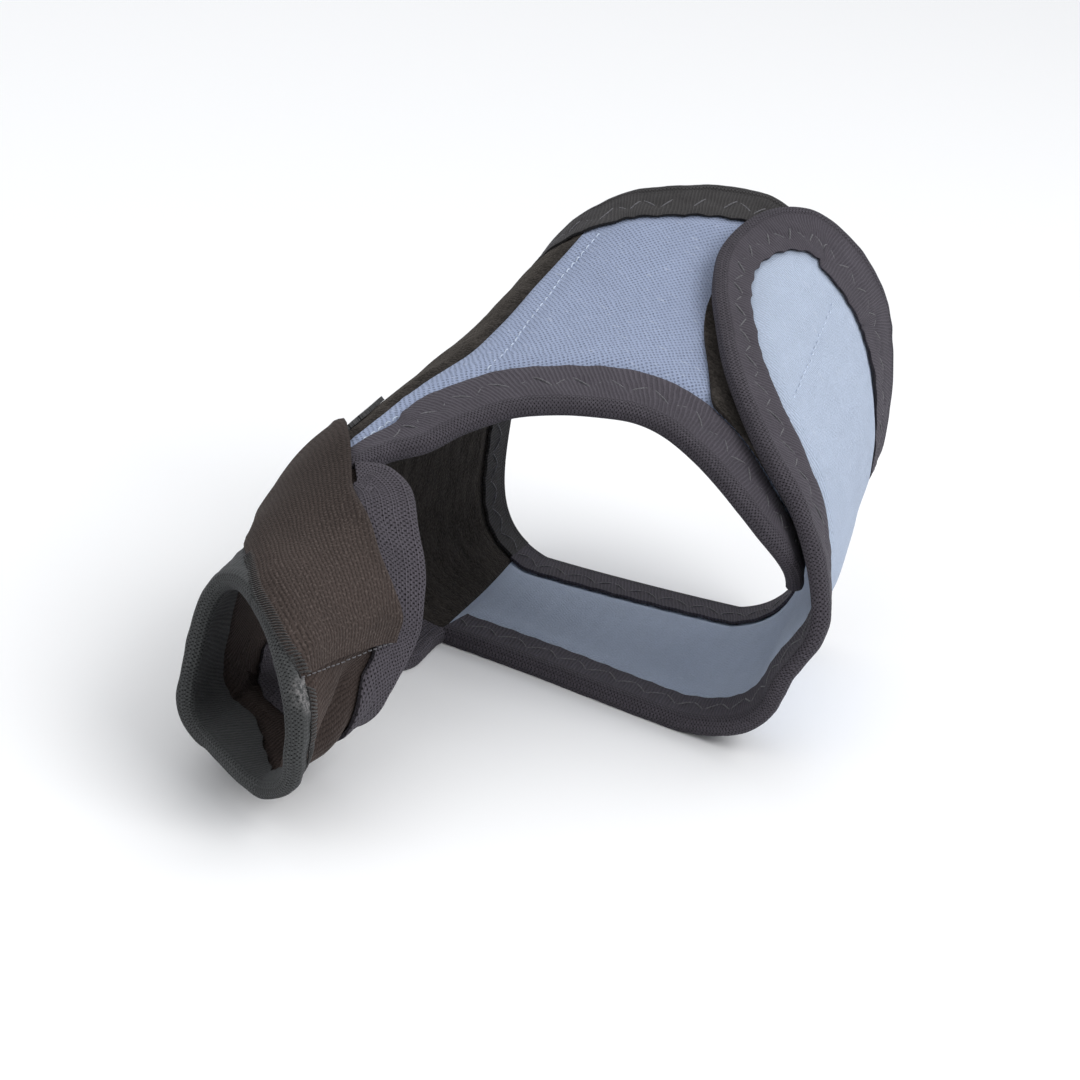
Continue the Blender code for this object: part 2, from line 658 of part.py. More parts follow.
def make_toe_cuff(look):
    """The closed sleeve, its wall pressed at both rims and folded on one side."""
    front, rear = cuff_rims()
    half, full = TAPE_WIDTH / 2, TAPE_WIDTH
    rings = [shifted(front, 1.0, depth, True) for depth in (GAP / 2, half, full, full + SWELL)]
    close = [shifted(rear, -1.0, depth, True) for depth in (full + SWELL, full, half, SEAM_SWELL, GAP / 2)]
    rings += [(rings[-1] + close[0]) / 2] + close
    along, turns = np.array(rings).transpose(2, 0, 1)
    path, widths = cuff_tape()
    spots = last.surface(along, turns).reshape(-1, 3)
    past_rear = beyond(spots, last.surface(*path.T), widths + CUFF_MARGIN)
    past_front = beyond(spots, last.surface(*np.vstack([front, front[:1]]).T), np.full(len(front) + 1, full))
    seam = last.surface(*curve_through(MEDIAL_FRONT).T)
    from_seam = beyond(spots, seam, np.zeros(len(seam)))
    swell = np.minimum(eased(0.0, SWELL, np.minimum(past_rear, past_front)), eased(0.0, SEAM_SWELL, from_seam))
    pressed = 1.0 - swell.reshape(along.shape)
    dent = cuff_dent(along.ravel(), turns.ravel()).reshape(along.shape)
    low = GAP + (PRESSED_IN - GAP) * pressed - dent
    high = FACE + (PRESSED_OUT - FACE) * pressed - dent
    rows, count = along.shape
    inner = last.place(along, turns, low).reshape(-1, 3)
    outer = last.place(along, turns, high).reshape(-1, 3)
    shift = rows * count
    faces = []
    for turn in range(count):
        following = (turn + 1) % count
        for row in range(rows - 1):
            square = [row * count + turn, row * count + following]
            square += [(row + 1) * count + following, (row + 1) * count + turn]
            faces.append([index + shift for index in square])
            faces.append(square[::-1])
        for row in (0, rows - 1):
            a, b = row * count + turn, row * count + following
            faces.append([a, b, b + shift, a + shift] if row else [b, a, a + shift, b + shift])
    return finished("toe_cuff", np.vstack([inner, outer]), faces, look)


def make_toe_strap(look):
    """The elastic from beside the cuff over its top to the inner side of the band."""
    front = curve_through(ELASTIC_FRONT)
    rear = curve_through(ELASTIC_REAR)
    sewn = curve_through((ELASTIC_REAR[0], ELASTIC_FRONT[0]))
    hooked = curve_through((ELASTIC_FRONT[-1], ELASTIC_REAR[-1]))

    def heights(along, around, past_tape, from_seam):
        rise = (TAB_OUT - FACE) * eased(0.05, -0.18, around)
        low = STRAP_IN + rise
        return low, low + ELASTIC

    runs = ((front[::-1], None), (sewn[::-1], None), (rear, None), (hooked[::-1], None))
    return sheet("toe_strap", runs, 0.060, heights, look)


def make_hook_tab(look):
    """The hook tape below the elastic's end, which shows past its edge."""
    corners = [curve_through((a, b)) for a, b in zip(HOOK_TAB, HOOK_TAB[1:] + HOOK_TAB[:1])]
    runs = [(path, None) for path in corners]
    return sheet("strap_hook_tab", runs, 0.090, thin_heights(TAB_IN, TAB_OUT), look)


def make_bindings(look):
    """The folded tapes that finish the band's and the cuff's edges."""
    front, widths = edge_of(INSTEP_FRONT)
    tape("panel_front_binding", front[1:-1], widths[1:-1], 1.0, look)
    inner, inner_widths = edge_of(MEDIAL_REAR)
    outer, outer_widths = edge_of(INSTEP_REAR)
    rear = np.vstack([inner[::-1][1:-1], outer[:-1]])
    widths = np.concatenate([inner_widths[::-1][1:-1], outer_widths[:-1]])
    tape("panel_rear_binding", rear, widths, -1.0, look)
    rim, widths = edge_of(STRAP_RIM)
    tape("strap_binding", rim[1:-1], widths[1:-1], -1.0, look, strap_lift)
    cuff_front = cuff_rims()[0]

    def follow_fold(along, around):
        return -cuff_dent(along, around)

    full = np.full(len(cuff_front), TAPE_WIDTH)
    tape("cuff_front_binding", cuff_front, full, 1.0, look, follow_fold, closed=True)
    path, widths = cuff_tape()
    tape("cuff_rear_binding", path, widths, -1.0, look, follow_fold)


def centre_on_origin():
    """Moves every mesh so that the whole stands on z = 0 with the middle of its box at the origin."""
    meshes = [made.data for made in bpy.context.scene.collection.objects if made.type == "MESH"]
    points = np.vstack([[vertex.co[:] for vertex in mesh.vertices] for mesh in meshes])
    low, high = points.min(0), points.max(0)
    shift = np.array([-(low[0] + high[0]) / 2, -(low[1] + high[1]) / 2, -low[2]])
    for mesh in meshes:
        for vertex in mesh.vertices:
            vertex.co = Vector(shift) + vertex.co
        mesh.update()


def main():
    for old in list(bpy.data.objects):
        bpy.data.objects.remove(old, do_unlink=True)
    blue = make_look("blue_knit", (0.36, 0.42, 0.52), 0.8)
    velour = make_look("dark_velour", (0.045, 0.04, 0.036), 0.95)
    binding = make_look("grey_binding", (0.075, 0.068, 0.078), 0.85)
    elastic = make_look("brown_elastic", (0.05, 0.033, 0.03), 0.8)
    hook = make_look("black_hook_tape", (0.015, 0.015, 0.016), 0.5)
    make_instep_panel(blue)
    make_medial_panel(velour)
    make_closure_strap(blue)
    make_loop_patch(velour)
    make_hook_patch(hook)
    make_toe_cuff(elastic)
    make_toe_strap(elastic)
    make_hook_tab(hook)
    make_bindings(binding)
    centre_on_origin()


main()
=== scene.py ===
"""Looks of the bunion corrector: its cloth, tapes, stitches and materials, laid on the last."""

import bmesh
import bpy
import numpy as np
from bpy.props import FloatProperty, FloatVectorProperty, PointerProperty
from mathutils import Matrix, Vector, geometry


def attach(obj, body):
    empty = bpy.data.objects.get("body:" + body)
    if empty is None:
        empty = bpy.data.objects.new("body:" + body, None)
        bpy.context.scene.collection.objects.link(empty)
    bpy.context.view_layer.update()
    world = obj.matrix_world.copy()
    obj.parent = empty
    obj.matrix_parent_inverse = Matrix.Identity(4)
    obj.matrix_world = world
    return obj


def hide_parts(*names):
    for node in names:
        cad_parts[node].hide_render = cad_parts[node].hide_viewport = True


bl_info = {
    "name": "Bunion corrector",
    "version": (1, 0, 0),
    "blender": (4, 5, 0),
    "location": "View3D > Sidebar > Brace",
    "description": "Dresses the brace's panels, strap, cuff and tapes in cloth",
    "category": "Add Mesh",
}

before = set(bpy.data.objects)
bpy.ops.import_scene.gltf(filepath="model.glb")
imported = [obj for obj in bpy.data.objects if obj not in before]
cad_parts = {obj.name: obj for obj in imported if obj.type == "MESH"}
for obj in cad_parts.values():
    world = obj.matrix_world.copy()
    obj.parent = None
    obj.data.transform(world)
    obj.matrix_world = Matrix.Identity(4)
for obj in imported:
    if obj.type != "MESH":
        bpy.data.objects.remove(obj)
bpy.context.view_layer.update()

MM = 0.001

# The last's own sizes, and where its front corner stands in the part's frame.
LAST_LENGTH = 180.0 * MM
LAST_WIDTH = 80.0 * MM
LAST_HEIGHT = 92.0 * MM
LAST_ORIGIN = np.array([4.163, -87.687, 2.7]) * MM

# Cloth, tape and the gaps between them.
LAMINATE = 2.4 * MM
TAPE = 0.5 * MM
TAPE_WIDTH = 9.0 * MM
PATCH = 0.55 * MM
ELASTIC = 1.2 * MM
GAP = 0.3 * MM
TAPE_GAP = 0.3 * MM
STRAP_SLACK = 0.35 * MM
SWELL = 2.2 * MM
SEAM_SWELL = 1.6 * MM
SHIFT_STEPS = 4

# Heights above the last.
FACE = GAP + LAMINATE
PRESSED_IN = TAPE + TAPE_GAP
PRESSED_OUT = FACE - TAPE - TAPE_GAP
LOOP_IN = FACE + GAP
LOOP_OUT = LOOP_IN + PATCH
HOOK_IN = LOOP_OUT + GAP
HOOK_OUT = HOOK_IN + PATCH
LAP = HOOK_OUT
STRAP_IN = FACE + GAP + STRAP_SLACK
TAB_IN = FACE + GAP
TAB_OUT = TAB_IN + PATCH

# Spacing of the points that the cloth is drawn with.
EDGE_STEP = 1.1 * MM
FILL_STEP = 1.25 * MM
TAPE_STEP = 0.8 * MM
RING_DEPTHS = (0.5, 1.0, 1.7)

# How square the last's section is on each side and below, and how early its sole lies flat.
ROUND_OUTER, ROUND_INNER, ROUND_SOLE = 2.15, 2.7, 4.0
SOLE_FLAT = 0.96

LAST_COLUMNS = ("along", "inner", "outer", "ridge", "side", "top", "sole")
LAST_ROWS = (
    (0.000, -0.425, -0.200, -0.313, 0.109, 0.207, 0.033),
    (0.083, -0.450, -0.200, -0.325, 0.145, 0.261, 0.043),
    (0.167, -0.463, -0.213, -0.350, 0.165, 0.293, 0.065),
    (0.250, -0.473, -0.200, -0.363, 0.185, 0.326, 0.076),
    (0.333, -0.498, -0.113, -0.350, 0.196, 0.370, 0.043),
    (0.417, -0.521, 0.163, -0.300, 0.196, 0.413, 0.011),
    (0.500, -0.517, 0.408, -0.213, 0.201, 0.473, 0.000),
    (0.583, -0.496, 0.364, -0.138, 0.219, 0.538, 0.000),
    (0.667, -0.469, 0.346, -0.119, 0.233, 0.609, 0.000),
    (0.750, -0.444, 0.318, -0.119, 0.272, 0.685, 0.000),
    (0.833, -0.425, 0.297, -0.125, 0.304, 0.772, 0.000),
    (0.917, -0.413, 0.284, -0.125, 0.348, 0.870, 0.000),
    (1.000, -0.400, 0.278, -0.125, 0.391, 1.000, 0.000),
)

# Edges of the pieces: along, around and, where it is taped, the tape's share.
JOIN = 0.340
INSTEP_SEAM = (
    (JOIN, -0.160), (0.400, -0.166), (0.445, -0.171), (0.490, -0.178), (0.527, -0.178),
    (0.613, -0.176), (0.673, -0.173), (0.728, -0.157), (0.770, -0.144), (0.801, -0.140),
)
INSTEP_FRONT = (
    (0.365, -0.062, 0.40), (0.392, -0.043, 0.55), (0.419, -0.006, 0.85), (0.453, -0.003, 1.05),
    (0.474, 0.005, 1.05), (0.494, 0.019, 1.05), (0.513, 0.057, 1.05), (0.526, 0.097, 1.05),
    (0.537, 0.140, 1.05), (0.539, 0.187, 1.05), (0.533, 0.248, 1.05), (0.523, 0.319, 1.00),
    (0.519, 0.354, 1.00), (0.518, 0.395, 1.00), (0.526, 0.430, 1.00), (0.541, 0.459, 1.00),
    (0.570, 0.500, 1.00),
)
TAPE_LEAD = ((0.336, -0.112, 0.45), (0.351, -0.086, 0.45))
INSTEP_REAR = (
    (0.801, -0.140, 0.85), (0.809, -0.106, 0.85), (0.818, -0.046, 0.85), (0.831, 0.010, 0.85),
    (0.843, 0.061, 0.85), (0.853, 0.101, 0.85), (0.857, 0.142, 0.85), (0.856, 0.205, 0.85),
    (0.849, 0.300, 0.85), (0.836, 0.400, 0.85), (0.824, 0.485, 0.85),
)
MEDIAL_REAR = (
    (0.801, -0.140, 0.85), (0.800, -0.200, 0.85), (0.800, -0.300, 0.85), (0.802, -0.450, 0.85),
    (0.806, -0.600, 0.85), (0.811, -0.7865, 0.85),
)
MEDIAL_FRONT = ((JOIN, -0.160), (JOIN, -0.300), (JOIN, -0.450), (JOIN, -0.600), (JOIN, -0.760))
MEDIAL_EDGE = (
    (JOIN, -0.760, 0.60), (0.380, -0.765, 0.65), (0.430, -0.765, 0.80), (0.490, -0.770, 1.00),
    (0.530, -0.775, 1.00), (0.560, -0.7865, 1.00),
)
PLANTAR_SEAM = ((0.560, -0.7865), (0.640, -0.7865), (0.720, -0.7865), (0.811, -0.7865))
STRAP_RIM = (
    (0.562, 1.2135, 0.95), (0.556, 1.100, 0.95), (0.549, 1.000, 0.95), (0.539, 0.900, 0.95),
    (0.528, 0.780, 0.95), (0.518, 0.690, 0.95), (0.511, 0.610, 0.95), (0.509, 0.545, 0.95),
    (0.514, 0.491, 0.95), (0.528, 0.445, 0.97), (0.546, 0.388, 1.00), (0.559, 0.323, 0.95),
    (0.586, 0.253, 0.80), (0.627, 0.181, 0.62), (0.673, 0.130, 0.55), (0.706, 0.105, 0.55),
    (0.742, 0.090, 0.60), (0.777, 0.094, 0.70), (0.808, 0.110, 0.85), (0.833, 0.134, 1.05),
    (0.853, 0.167, 1.25), (0.866, 0.212, 1.35), (0.880, 0.270, 1.45), (0.890, 0.326, 1.50),
    (0.890, 0.380, 1.45), (0.882, 0.447, 1.25), (0.868, 0.525, 1.00), (0.853, 0.640, 0.95),
    (0.838, 0.780, 0.95), (0.825, 0.900, 0.95), (0.817, 1.000, 0.95), (0.812, 1.100, 0.95),
    (0.810, 1.2135, 0.95),
)
STRAP_SEAM = ((0.810, 1.2135), (0.720, 1.2135), (0.640, 1.2135), (0.562, 1.2135))
# The strap climbs on to the band's own end between these places around.
LAP_FROM, LAP_TO = 0.625, 0.505

# The cuff's rims: around, and how far along the front rim and the rear rim lie there.
CUFF_ROWS = (
    (0.000, 0.146, 0.366), (0.100, 0.123, 0.349), (0.200, 0.101, 0.318), (0.300, 0.090, 0.303),
    (0.400, 0.086, 0.290), (0.500, 0.086, 0.283), (0.600, 0.092, 0.269), (0.725, 0.101, 0.254),
    (0.850, 0.112, 0.256), (1.000, 0.130, 0.275), (1.120, 0.146, 0.300), (1.200, 0.156, 0.322),
    (1.250, 0.160, JOIN), (1.400, 0.172, JOIN), (1.600, 0.182, JOIN), (1.740, 0.184, JOIN),
    (1.840, 0.176, JOIN), (1.890, 0.169, 0.346), (1.935, 0.160, 0.358), (1.968, 0.153, 0.364),
)
CUFF_STATIONS, FRONT_STATIONS, STITCH_STATIONS = 150, 140, 400

# The cuff's tapes: where the rear one starts and where it leaves the rim, and around and share.
CUFF_TAPE_START, CUFF_TAPE_TURN = -0.075, 1.225
CORNER_TAPE = ((1.000, 1.00), (1.200, 0.60))
SEWN_SHARE = 0.27
FRONT_TAPE = (
    (0.00, SEWN_SHARE), (0.80, SEWN_SHARE), (1.00, 0.60), (1.20, 1.00), (1.86, 1.00),
    (1.94, 0.60), (2.00, SEWN_SHARE),
)
WORN_SPOT = (0.100, 0.320)
WORN_REACH = 3.6 * MM

# The fold's middle line on the cuff: along, around and the share of its depth.
CUFF_FOLD_DEPTH = 3.3 * MM
CUFF_FOLD_WIDTH = 3.4 * MM
CUFF_FOLD = ((0.222, 0.430, 0.35), (0.190, 0.520, 1.00), (0.150, 0.620, 1.00), (0.115, 0.740, 0.45))

ELASTIC_FRONT = (
    (0.101, 0.268), (0.106, 0.160), (0.122, 0.080), (0.153, -0.025), (0.200, -0.128),
    (0.252, -0.225), (0.305, -0.320), (0.352, -0.410), (0.392, -0.490), (0.420, -0.555),
)
ELASTIC_REAR = (
    (0.255, 0.470), (0.258, 0.400), (0.259, 0.301), (0.267, 0.213), (0.286, 0.125), (0.311, 0.021),
    (0.351, -0.062), (0.408, -0.152), (0.448, -0.215), (0.478, -0.300), (0.500, -0.390),
)
ELASTIC_STATIONS, ELASTIC_COLUMNS = 190, 44
ELASTIC_SEWN = 3.5 * MM
ELASTIC_LAID = 5.0 * MM
HOOK_TAB = (
    (0.440, -0.222), (0.470, -0.214), (0.506, -0.236), (0.516, -0.330), (0.508, -0.410),
    (0.440, -0.530), (0.440, -0.360),
)
LOOP_RIM = (
    (0.576, 0.213), (0.605, 0.183), (0.633, 0.151), (0.658, 0.124), (0.702, 0.103),
    (0.752, 0.110), (0.798, 0.133),
)
LOOP_END = 0.476

# The last's girth where each sheet lies, by which its net of points is evened out.
BLUE_GIRTH, MEDIAL_GIRTH, TAB_GIRTH = 0.115, 0.100, 0.090

# Stitch lines on the blue cloth.
PANEL_STITCH = (
    (0.752, -0.109), (0.736, -0.114), (0.683, -0.125), (0.619, -0.125), (0.562, -0.110), (0.521, -0.092),
)
TONGUE_STITCH = ((0.480, -0.105), (0.443, -0.116), (0.419, -0.119), (0.391, -0.123))
TAB_STITCH = ((0.788, 0.248), (0.749, 0.254), (0.706, 0.264), (0.664, 0.271), (0.632, 0.279))

# Stitches: pitch, the gap to the next one and the thread's radius.
BLUE_STITCH = (1.8 * MM, 0.5 * MM, 0.14 * MM)
CROSS_STITCH = (1.5 * MM, 0.7 * MM, 0.09 * MM)
STITCH_VALLEY = (0.42 * MM, 1.0 * MM)
STITCH_SUNK = 0.27 * MM

# The overlock over the cut edges: pitch, slant, where it starts outside the edge, reach and radius.
OVERLOCK_PITCH = 0.52 * MM
OVERLOCK_SLANT = 0.28 * MM
OVERLOCK_START = -0.35 * MM
OVERLOCK_REACH = 1.95 * MM
OVERLOCK_CHAIN = 0.15 * MM
OVERLOCK_RADIUS = 0.13 * MM
OVERLOCK_LAST = -0.2
OVERLOCK_RIM = (0.27, 0.80)

# Binding tapes: where the zigzag's middle lies, its widest swing, and the depth of the bays.
ZIGZAG_MIDDLE, ZIGZAG_SWING = 0.56, 0.32
ZIGZAG_LEAD = 16 * MM
SCALLOP_DEPTH = 0.34 * MM
INNER_FACE = -0.03 * MM
OUTER_RINGS, FOLD_RINGS, INNER_RINGS = 21, 7, 10
THREAD_SIDES = 6

# Pitches of the knits in millimetres: along the tape and across it.
TAPE_PITCH = (0.62, 0.80)
MESH_PITCH = (0.74, 1.00)

WISPS = (0.72, 0.76, 0.82)
LINT = (0.26, 0.25, 0.25)
ELASTIC_CORE = (0.18, 0.145, 0.13)
HOOK_GLINT = (0.10, 0.10, 0.105)
BLACK_PLASTIC = (0.015, 0.015, 0.016)
BLACK_THREAD = (0.012, 0.011, 0.011)
FLOOR, FLOOR_BRIGHT = (0.93, 0.93, 0.935), (0.95, 0.95, 0.953)

# The studio: lights by name, with place, size and power, all turned to one target.
FLOOR_HALF = 4.0
STUDIO_AIR, STUDIO_STRENGTH = (0.95, 0.97, 1.0, 1.0), 0.58
TARGET = (0.0, 0.0, 0.035)
LIGHTS = (
    ("window_light", (0.75, -0.15, 0.85), 0.7, 6.0),
    ("front_light", (-0.35, -0.9, 0.75), 0.9, 2.6),
    ("ceiling_light", (0.0, 1.4, 2.4), 3.2, 30.0),
)
SENSOR = 36.0

CAMERA_PLACE = np.array([103.5, -280.6, 165.0]) * MM + LAST_ORIGIN
CAMERA_TURN, CAMERA_RISE, CAMERA_ROLL = 16.8, 20.0, -10.6
CAMERA_REACH = 2600 / 1080


def columns(rows):
    """The table's columns as arrays."""
    return np.array(rows, float).T


def eased(low, high, value):
    """0 up to low, 1 from high on, and a smooth climb between."""
    share = np.clip((value - low) / (high - low), 0.0, 1.0)
    return share * share * (3.0 - 2.0 * share)


def fitted(known, values, wanted):
    """A smooth curve through the values that never swings past them."""
    steps = np.diff(known)
    slopes = np.diff(values) / steps
    inner = np.where(
        slopes[:-1] * slopes[1:] > 0,
        2 * slopes[:-1] * slopes[1:] / (slopes[:-1] + slopes[1:] + 1e-15),
        0.0,
    )
    tangents = np.concatenate([slopes[:1], inner, slopes[-1:]])
    index = np.clip(np.searchsorted(known, wanted) - 1, 0, len(steps) - 1)
    step = steps[index]
    t = (wanted - known[index]) / step
    return (
        values[index] * (1 + 2 * t) * (1 - t) ** 2
        + values[index + 1] * t * t * (3 - 2 * t)
        + tangents[index] * step * t * (1 - t) ** 2
        + tangents[index + 1] * step * t * t * (t - 1)
    )


class Last:
    """The form that the brace closes round, as a fine grid of surface points."""

    ALONG = np.linspace(-0.02, 1.02, 313)
    AROUND = np.linspace(0.0, 2.0, 801)
    QUARTER = np.linspace(0.0, 1.0, 121)

    def __init__(self):
        table = columns(LAST_ROWS)
        named = dict(zip(LAST_COLUMNS, table))
        sized = {}
        for name in LAST_COLUMNS[1:]:
            size = LAST_WIDTH if name in ("inner", "outer", "ridge") else LAST_HEIGHT
            sized[name] = size * fitted(named["along"], named[name], self.ALONG)
        self.grid = np.empty((len(self.ALONG), len(self.AROUND), 3))
        for row, along in enumerate(self.ALONG):
            x, z = self.section({name: values[row] for name, values in sized.items()})
            self.grid[row] = np.stack([x, np.full(len(x), along * LAST_LENGTH), z], -1)
        self.grid += LAST_ORIGIN
        steps = np.linalg.norm(np.diff(self.grid, axis=1), axis=2)
        self.run = np.concatenate([np.zeros((len(steps), 1)), np.cumsum(steps, axis=1)], 1)

    def section(self, size):
        """x and z at each of AROUND: from the ridge over the outer side, the sole and the inner side."""
        turn = self.QUARTER * np.pi / 2
        sine, cosine = np.sin(turn), np.cos(turn)
        middle = (size["inner"] + size["outer"]) / 2
        drop = np.minimum(sine ** (2 / ROUND_SOLE), SOLE_FLAT) / SOLE_FLAT
        spread = cosine ** (2 / ROUND_SOLE)
        low = size["side"] + (size["sole"] - size["side"]) * drop
        rise = size["top"] - size["side"]
        sides = []
        for edge, roundness in ((size["outer"], ROUND_OUTER), (size["inner"], ROUND_INNER)):
            over_x = size["ridge"] + (edge - size["ridge"]) * sine ** (2 / roundness)
            over_z = size["side"] + rise * cosine ** (2 / roundness)
            x = np.concatenate([over_x, (middle + (edge - middle) * spread)[1:]])
            z = np.concatenate([over_z, low[1:]])
            run = np.concatenate([[0.0], np.cumsum(np.hypot(np.diff(x), np.diff(z)))])
            sides.append((run / run[-1], x, z))
        half = len(self.AROUND) // 2
        share = self.AROUND[: half + 1]
        outer = [np.interp(share, sides[0][0], axis) for axis in sides[0][1:]]
        inner = [np.interp(share, sides[1][0], axis)[::-1] for axis in sides[1][1:]]
        return [np.concatenate([a, b[1:]]) for a, b in zip(outer, inner)]

    def blended(self, grid, along, around):
        """The grid's value at each place."""
        row = (along - self.ALONG[0]) / (self.ALONG[1] - self.ALONG[0])
        row = np.clip(row, 0.0, len(self.ALONG) - 1.001)
        i = row.astype(int)
        steps = len(self.AROUND) - 1
        turn = np.mod(around, 2.0) * steps / 2
        j = np.minimum(turn.astype(int), steps - 1)
        a, b = row - i, turn - j
        if grid.ndim == 3:
            a, b = a[..., None], b[..., None]
        near = grid[i, j] * (1 - b) + grid[i, j + 1] * b
        far = grid[i + 1, j] * (1 - b) + grid[i + 1, j + 1] * b
        return near * (1 - a) + far * a

    def surface(self, along, around):
        """The points of the last's surface at these places."""
        return self.blended(self.grid, along, around)

    def slopes(self, along, around):
        """How the surface point moves for a unit of along and a unit of around."""
        step, turn = 0.008, 0.012
        by_along = (self.surface(along + step, around) - self.surface(along - step, around)) / (2 * step)
        by_around = (self.surface(along, around + turn) - self.surface(along, around - turn)) / (2 * turn)
        return by_along, by_around

    def normal(self, along, around):
        """The way out of the last at these places."""
        by_along, by_around = self.slopes(along, around)
        across = np.cross(by_around, by_along)
        return across / np.linalg.norm(across, axis=-1, keepdims=True)

    def place(self, along, around, height):
        """The point this high above the last at each place."""
        along, around, height = np.broadcast_arrays(
            np.asarray(along, float), np.asarray(around, float), np.asarray(height, float)
        )
        return self.surface(along, around) + self.normal(along, around) * height[..., None]

    def spread(self, along, around):
        """Each place on the flat cloth, in metres: along the last, and round it from the ridge."""
        round_run = self.blended(self.run, along, around)
        whole = self.blended(self.run, along, np.full(np.shape(around), 1.99999))
        round_run = np.where(around < 0, round_run - whole, round_run)
        return np.stack([along * LAST_LENGTH, round_run], -1)


last = Last()


def curve_through(rows, step=EDGE_STEP):
    """Points of a smooth curve through the rows, a step apart on the last."""
    points = np.array(rows, float)
    padded = np.vstack([2 * points[0] - points[1], points, 2 * points[-1] - points[-2]])
    fine = []
    share = np.linspace(0.0, 1.0, 24, endpoint=False)[:, None]
    for before, start, end, after in zip(padded, padded[1:], padded[2:], padded[3:]):
        fine.append(
            0.5
            * (
                2 * start
                + (end - before) * share
                + (2 * before - 5 * start + 4 * end - after) * share**2
                + (3 * start - before - 3 * end + after) * share**3
            )
        )
    fine = np.vstack(fine + [padded[-2:-1]])
    run = run_of(last.place(fine[:, 0], fine[:, 1], FACE))
    even = np.linspace(0.0, run[-1], max(2, int(round(run[-1] / step)) + 1))
    return np.stack([np.interp(even, run, fine[:, k]) for k in range(fine.shape[1])], -1)


def run_of(spots):
    """How far each spot lies along the line of spots."""
    return np.concatenate([[0.0], np.cumsum(np.linalg.norm(np.diff(spots, axis=0), axis=1))])


def inward(path, side, closed=False):
    """For each point of the path, how along and around change in a metre straight in from the edge."""
    spots = last.place(path[:, 0], path[:, 1], FACE)
    if closed:
        ahead = np.roll(spots, -2, axis=0) - np.roll(spots, 2, axis=0)
    else:
        padded = np.vstack([spots[:1] * 2 - spots[1:2], spots, spots[-1:] * 2 - spots[-2:-1]])
        ahead = padded[2:] - padded[:-2]
    ahead /= np.linalg.norm(ahead, axis=1, keepdims=True)
    across = side * np.cross(last.normal(path[:, 0], path[:, 1]), ahead)
    by_along, by_around = last.slopes(path[:, 0], path[:, 1])
    aa, ab, bb = [(p * q).sum(1) for p, q in ((by_along,) * 2, (by_along, by_around), (by_around,) * 2)]
    da, db = (across * by_along).sum(1), (across * by_around).sum(1)
    whole = aa * bb - ab * ab
    return np.stack([(da * bb - db * ab) / whole, (db * aa - da * ab) / whole], -1)


def smoothed(values, closed=False, rounds=3):
    """The values with each point drawn towards its neighbours."""
    for _ in range(rounds):
        if closed:
            values = (np.roll(values, 1, axis=0) + 2 * values + np.roll(values, -1, axis=0)) / 4
        else:
            middle = (values[:-2] + 2 * values[1:-1] + values[2:]) / 4
            values = np.concatenate([values[:1], middle, values[-1:]])
    return values


def shifted(path, side, distance, closed=False):
    """The path moved in from its edge by this distance over the last, in a few short steps."""
    spots = path[:, :2]
    for _ in range(SHIFT_STEPS):
        ways = smoothed(inward(spots, side, closed), closed)
        spots = spots + ways * np.reshape(distance, (-1, 1)) / SHIFT_STEPS
    return spots


def nearest(spots, edge):
    """For each spot and each stretch of the edge: the stretch's nearest share and how far off it is."""
    starts, lines = edge[:-1], np.diff(edge, axis=0)
    offset = spots[:, None] - starts[None]
    share = np.clip((offset * lines).sum(2) / (lines * lines).sum(1), 0.0, 1.0)
    return share, np.linalg.norm(offset - share[..., None] * lines, axis=2)


def beyond(spots, edge, widths):
    """How far each spot lies past a band of these widths along the edge."""
    found = np.empty(len(spots))
    for first in range(0, len(spots), 2000):
        share, apart = nearest(spots[first : first + 2000], edge)
        found[first : first + 2000] = (apart - widths[:-1] - share * np.diff(widths)).min(1)
    return found


def from_line(spots, edge):
    """How far each spot lies from the edge."""
    return beyond(spots, edge, np.zeros(len(edge)))


def inside(places, loop):
    """Whether each place lies inside the closed loop."""
    x, y = places[:, 0][:, None], places[:, 1][:, None]
    x0, y0 = loop[:, 0][None], loop[:, 1][None]
    x1, y1 = np.roll(x0, -1, 1), np.roll(y0, -1, 1)
    spans = (y0 > y) != (y1 > y)
    safe = np.where(y1 == y0, 1.0, y1 - y0)
    return (spans & (x < x0 + (x1 - x0) * (y - y0) / safe)).sum(1) % 2 == 1


def ripple(points, size, seed):
    """A gentle random relief between about -1 and 1, with bumps of this size."""
    chance = np.random.default_rng(seed)
    total = np.zeros(len(points))
    for _ in range(7):
        way = chance.normal(size=3)
        way *= 2 * np.pi / (size * chance.uniform(0.7, 1.5) * np.linalg.norm(way))
        total += np.sin(points @ way + chance.uniform(0, 2 * np.pi))
    return total / 3.5


def edge_of(rows, step=EDGE_STEP):
    """A taped edge's path and its tape's widths in metres."""
    whole = curve_through(rows, step)
    return whole[:, :2], whole[:, 2] * TAPE_WIDTH


# Meshes


def finished(name, points, faces, spread, look, node):
    """A piece with its flat places as its UV map, facing outwards, riding on the root."""
    mesh = bpy.data.meshes.new(name)
    mesh.from_pydata([tuple(point) for point in points], [], [list(face) for face in faces])
    shape = bmesh.new()
    shape.from_mesh(mesh)
    bmesh.ops.recalc_face_normals(shape, faces=shape.faces)
    layer = shape.loops.layers.uv.new("cloth")
    shape.verts.ensure_lookup_table()
    for face in shape.faces:
        for loop in face.loops:
            loop[layer].uv = spread[loop.vert.index]
    shape.to_mesh(mesh)
    shape.free()
    mesh.shade_smooth()
    mesh.set_sharp_from_angle(angle=np.radians(60.0))
    mesh.materials.append(look)
    made = bpy.data.objects.new(name, mesh)
    bpy.context.scene.collection.objects.link(made)
    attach(made, "root")
    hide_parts(node)
    return made


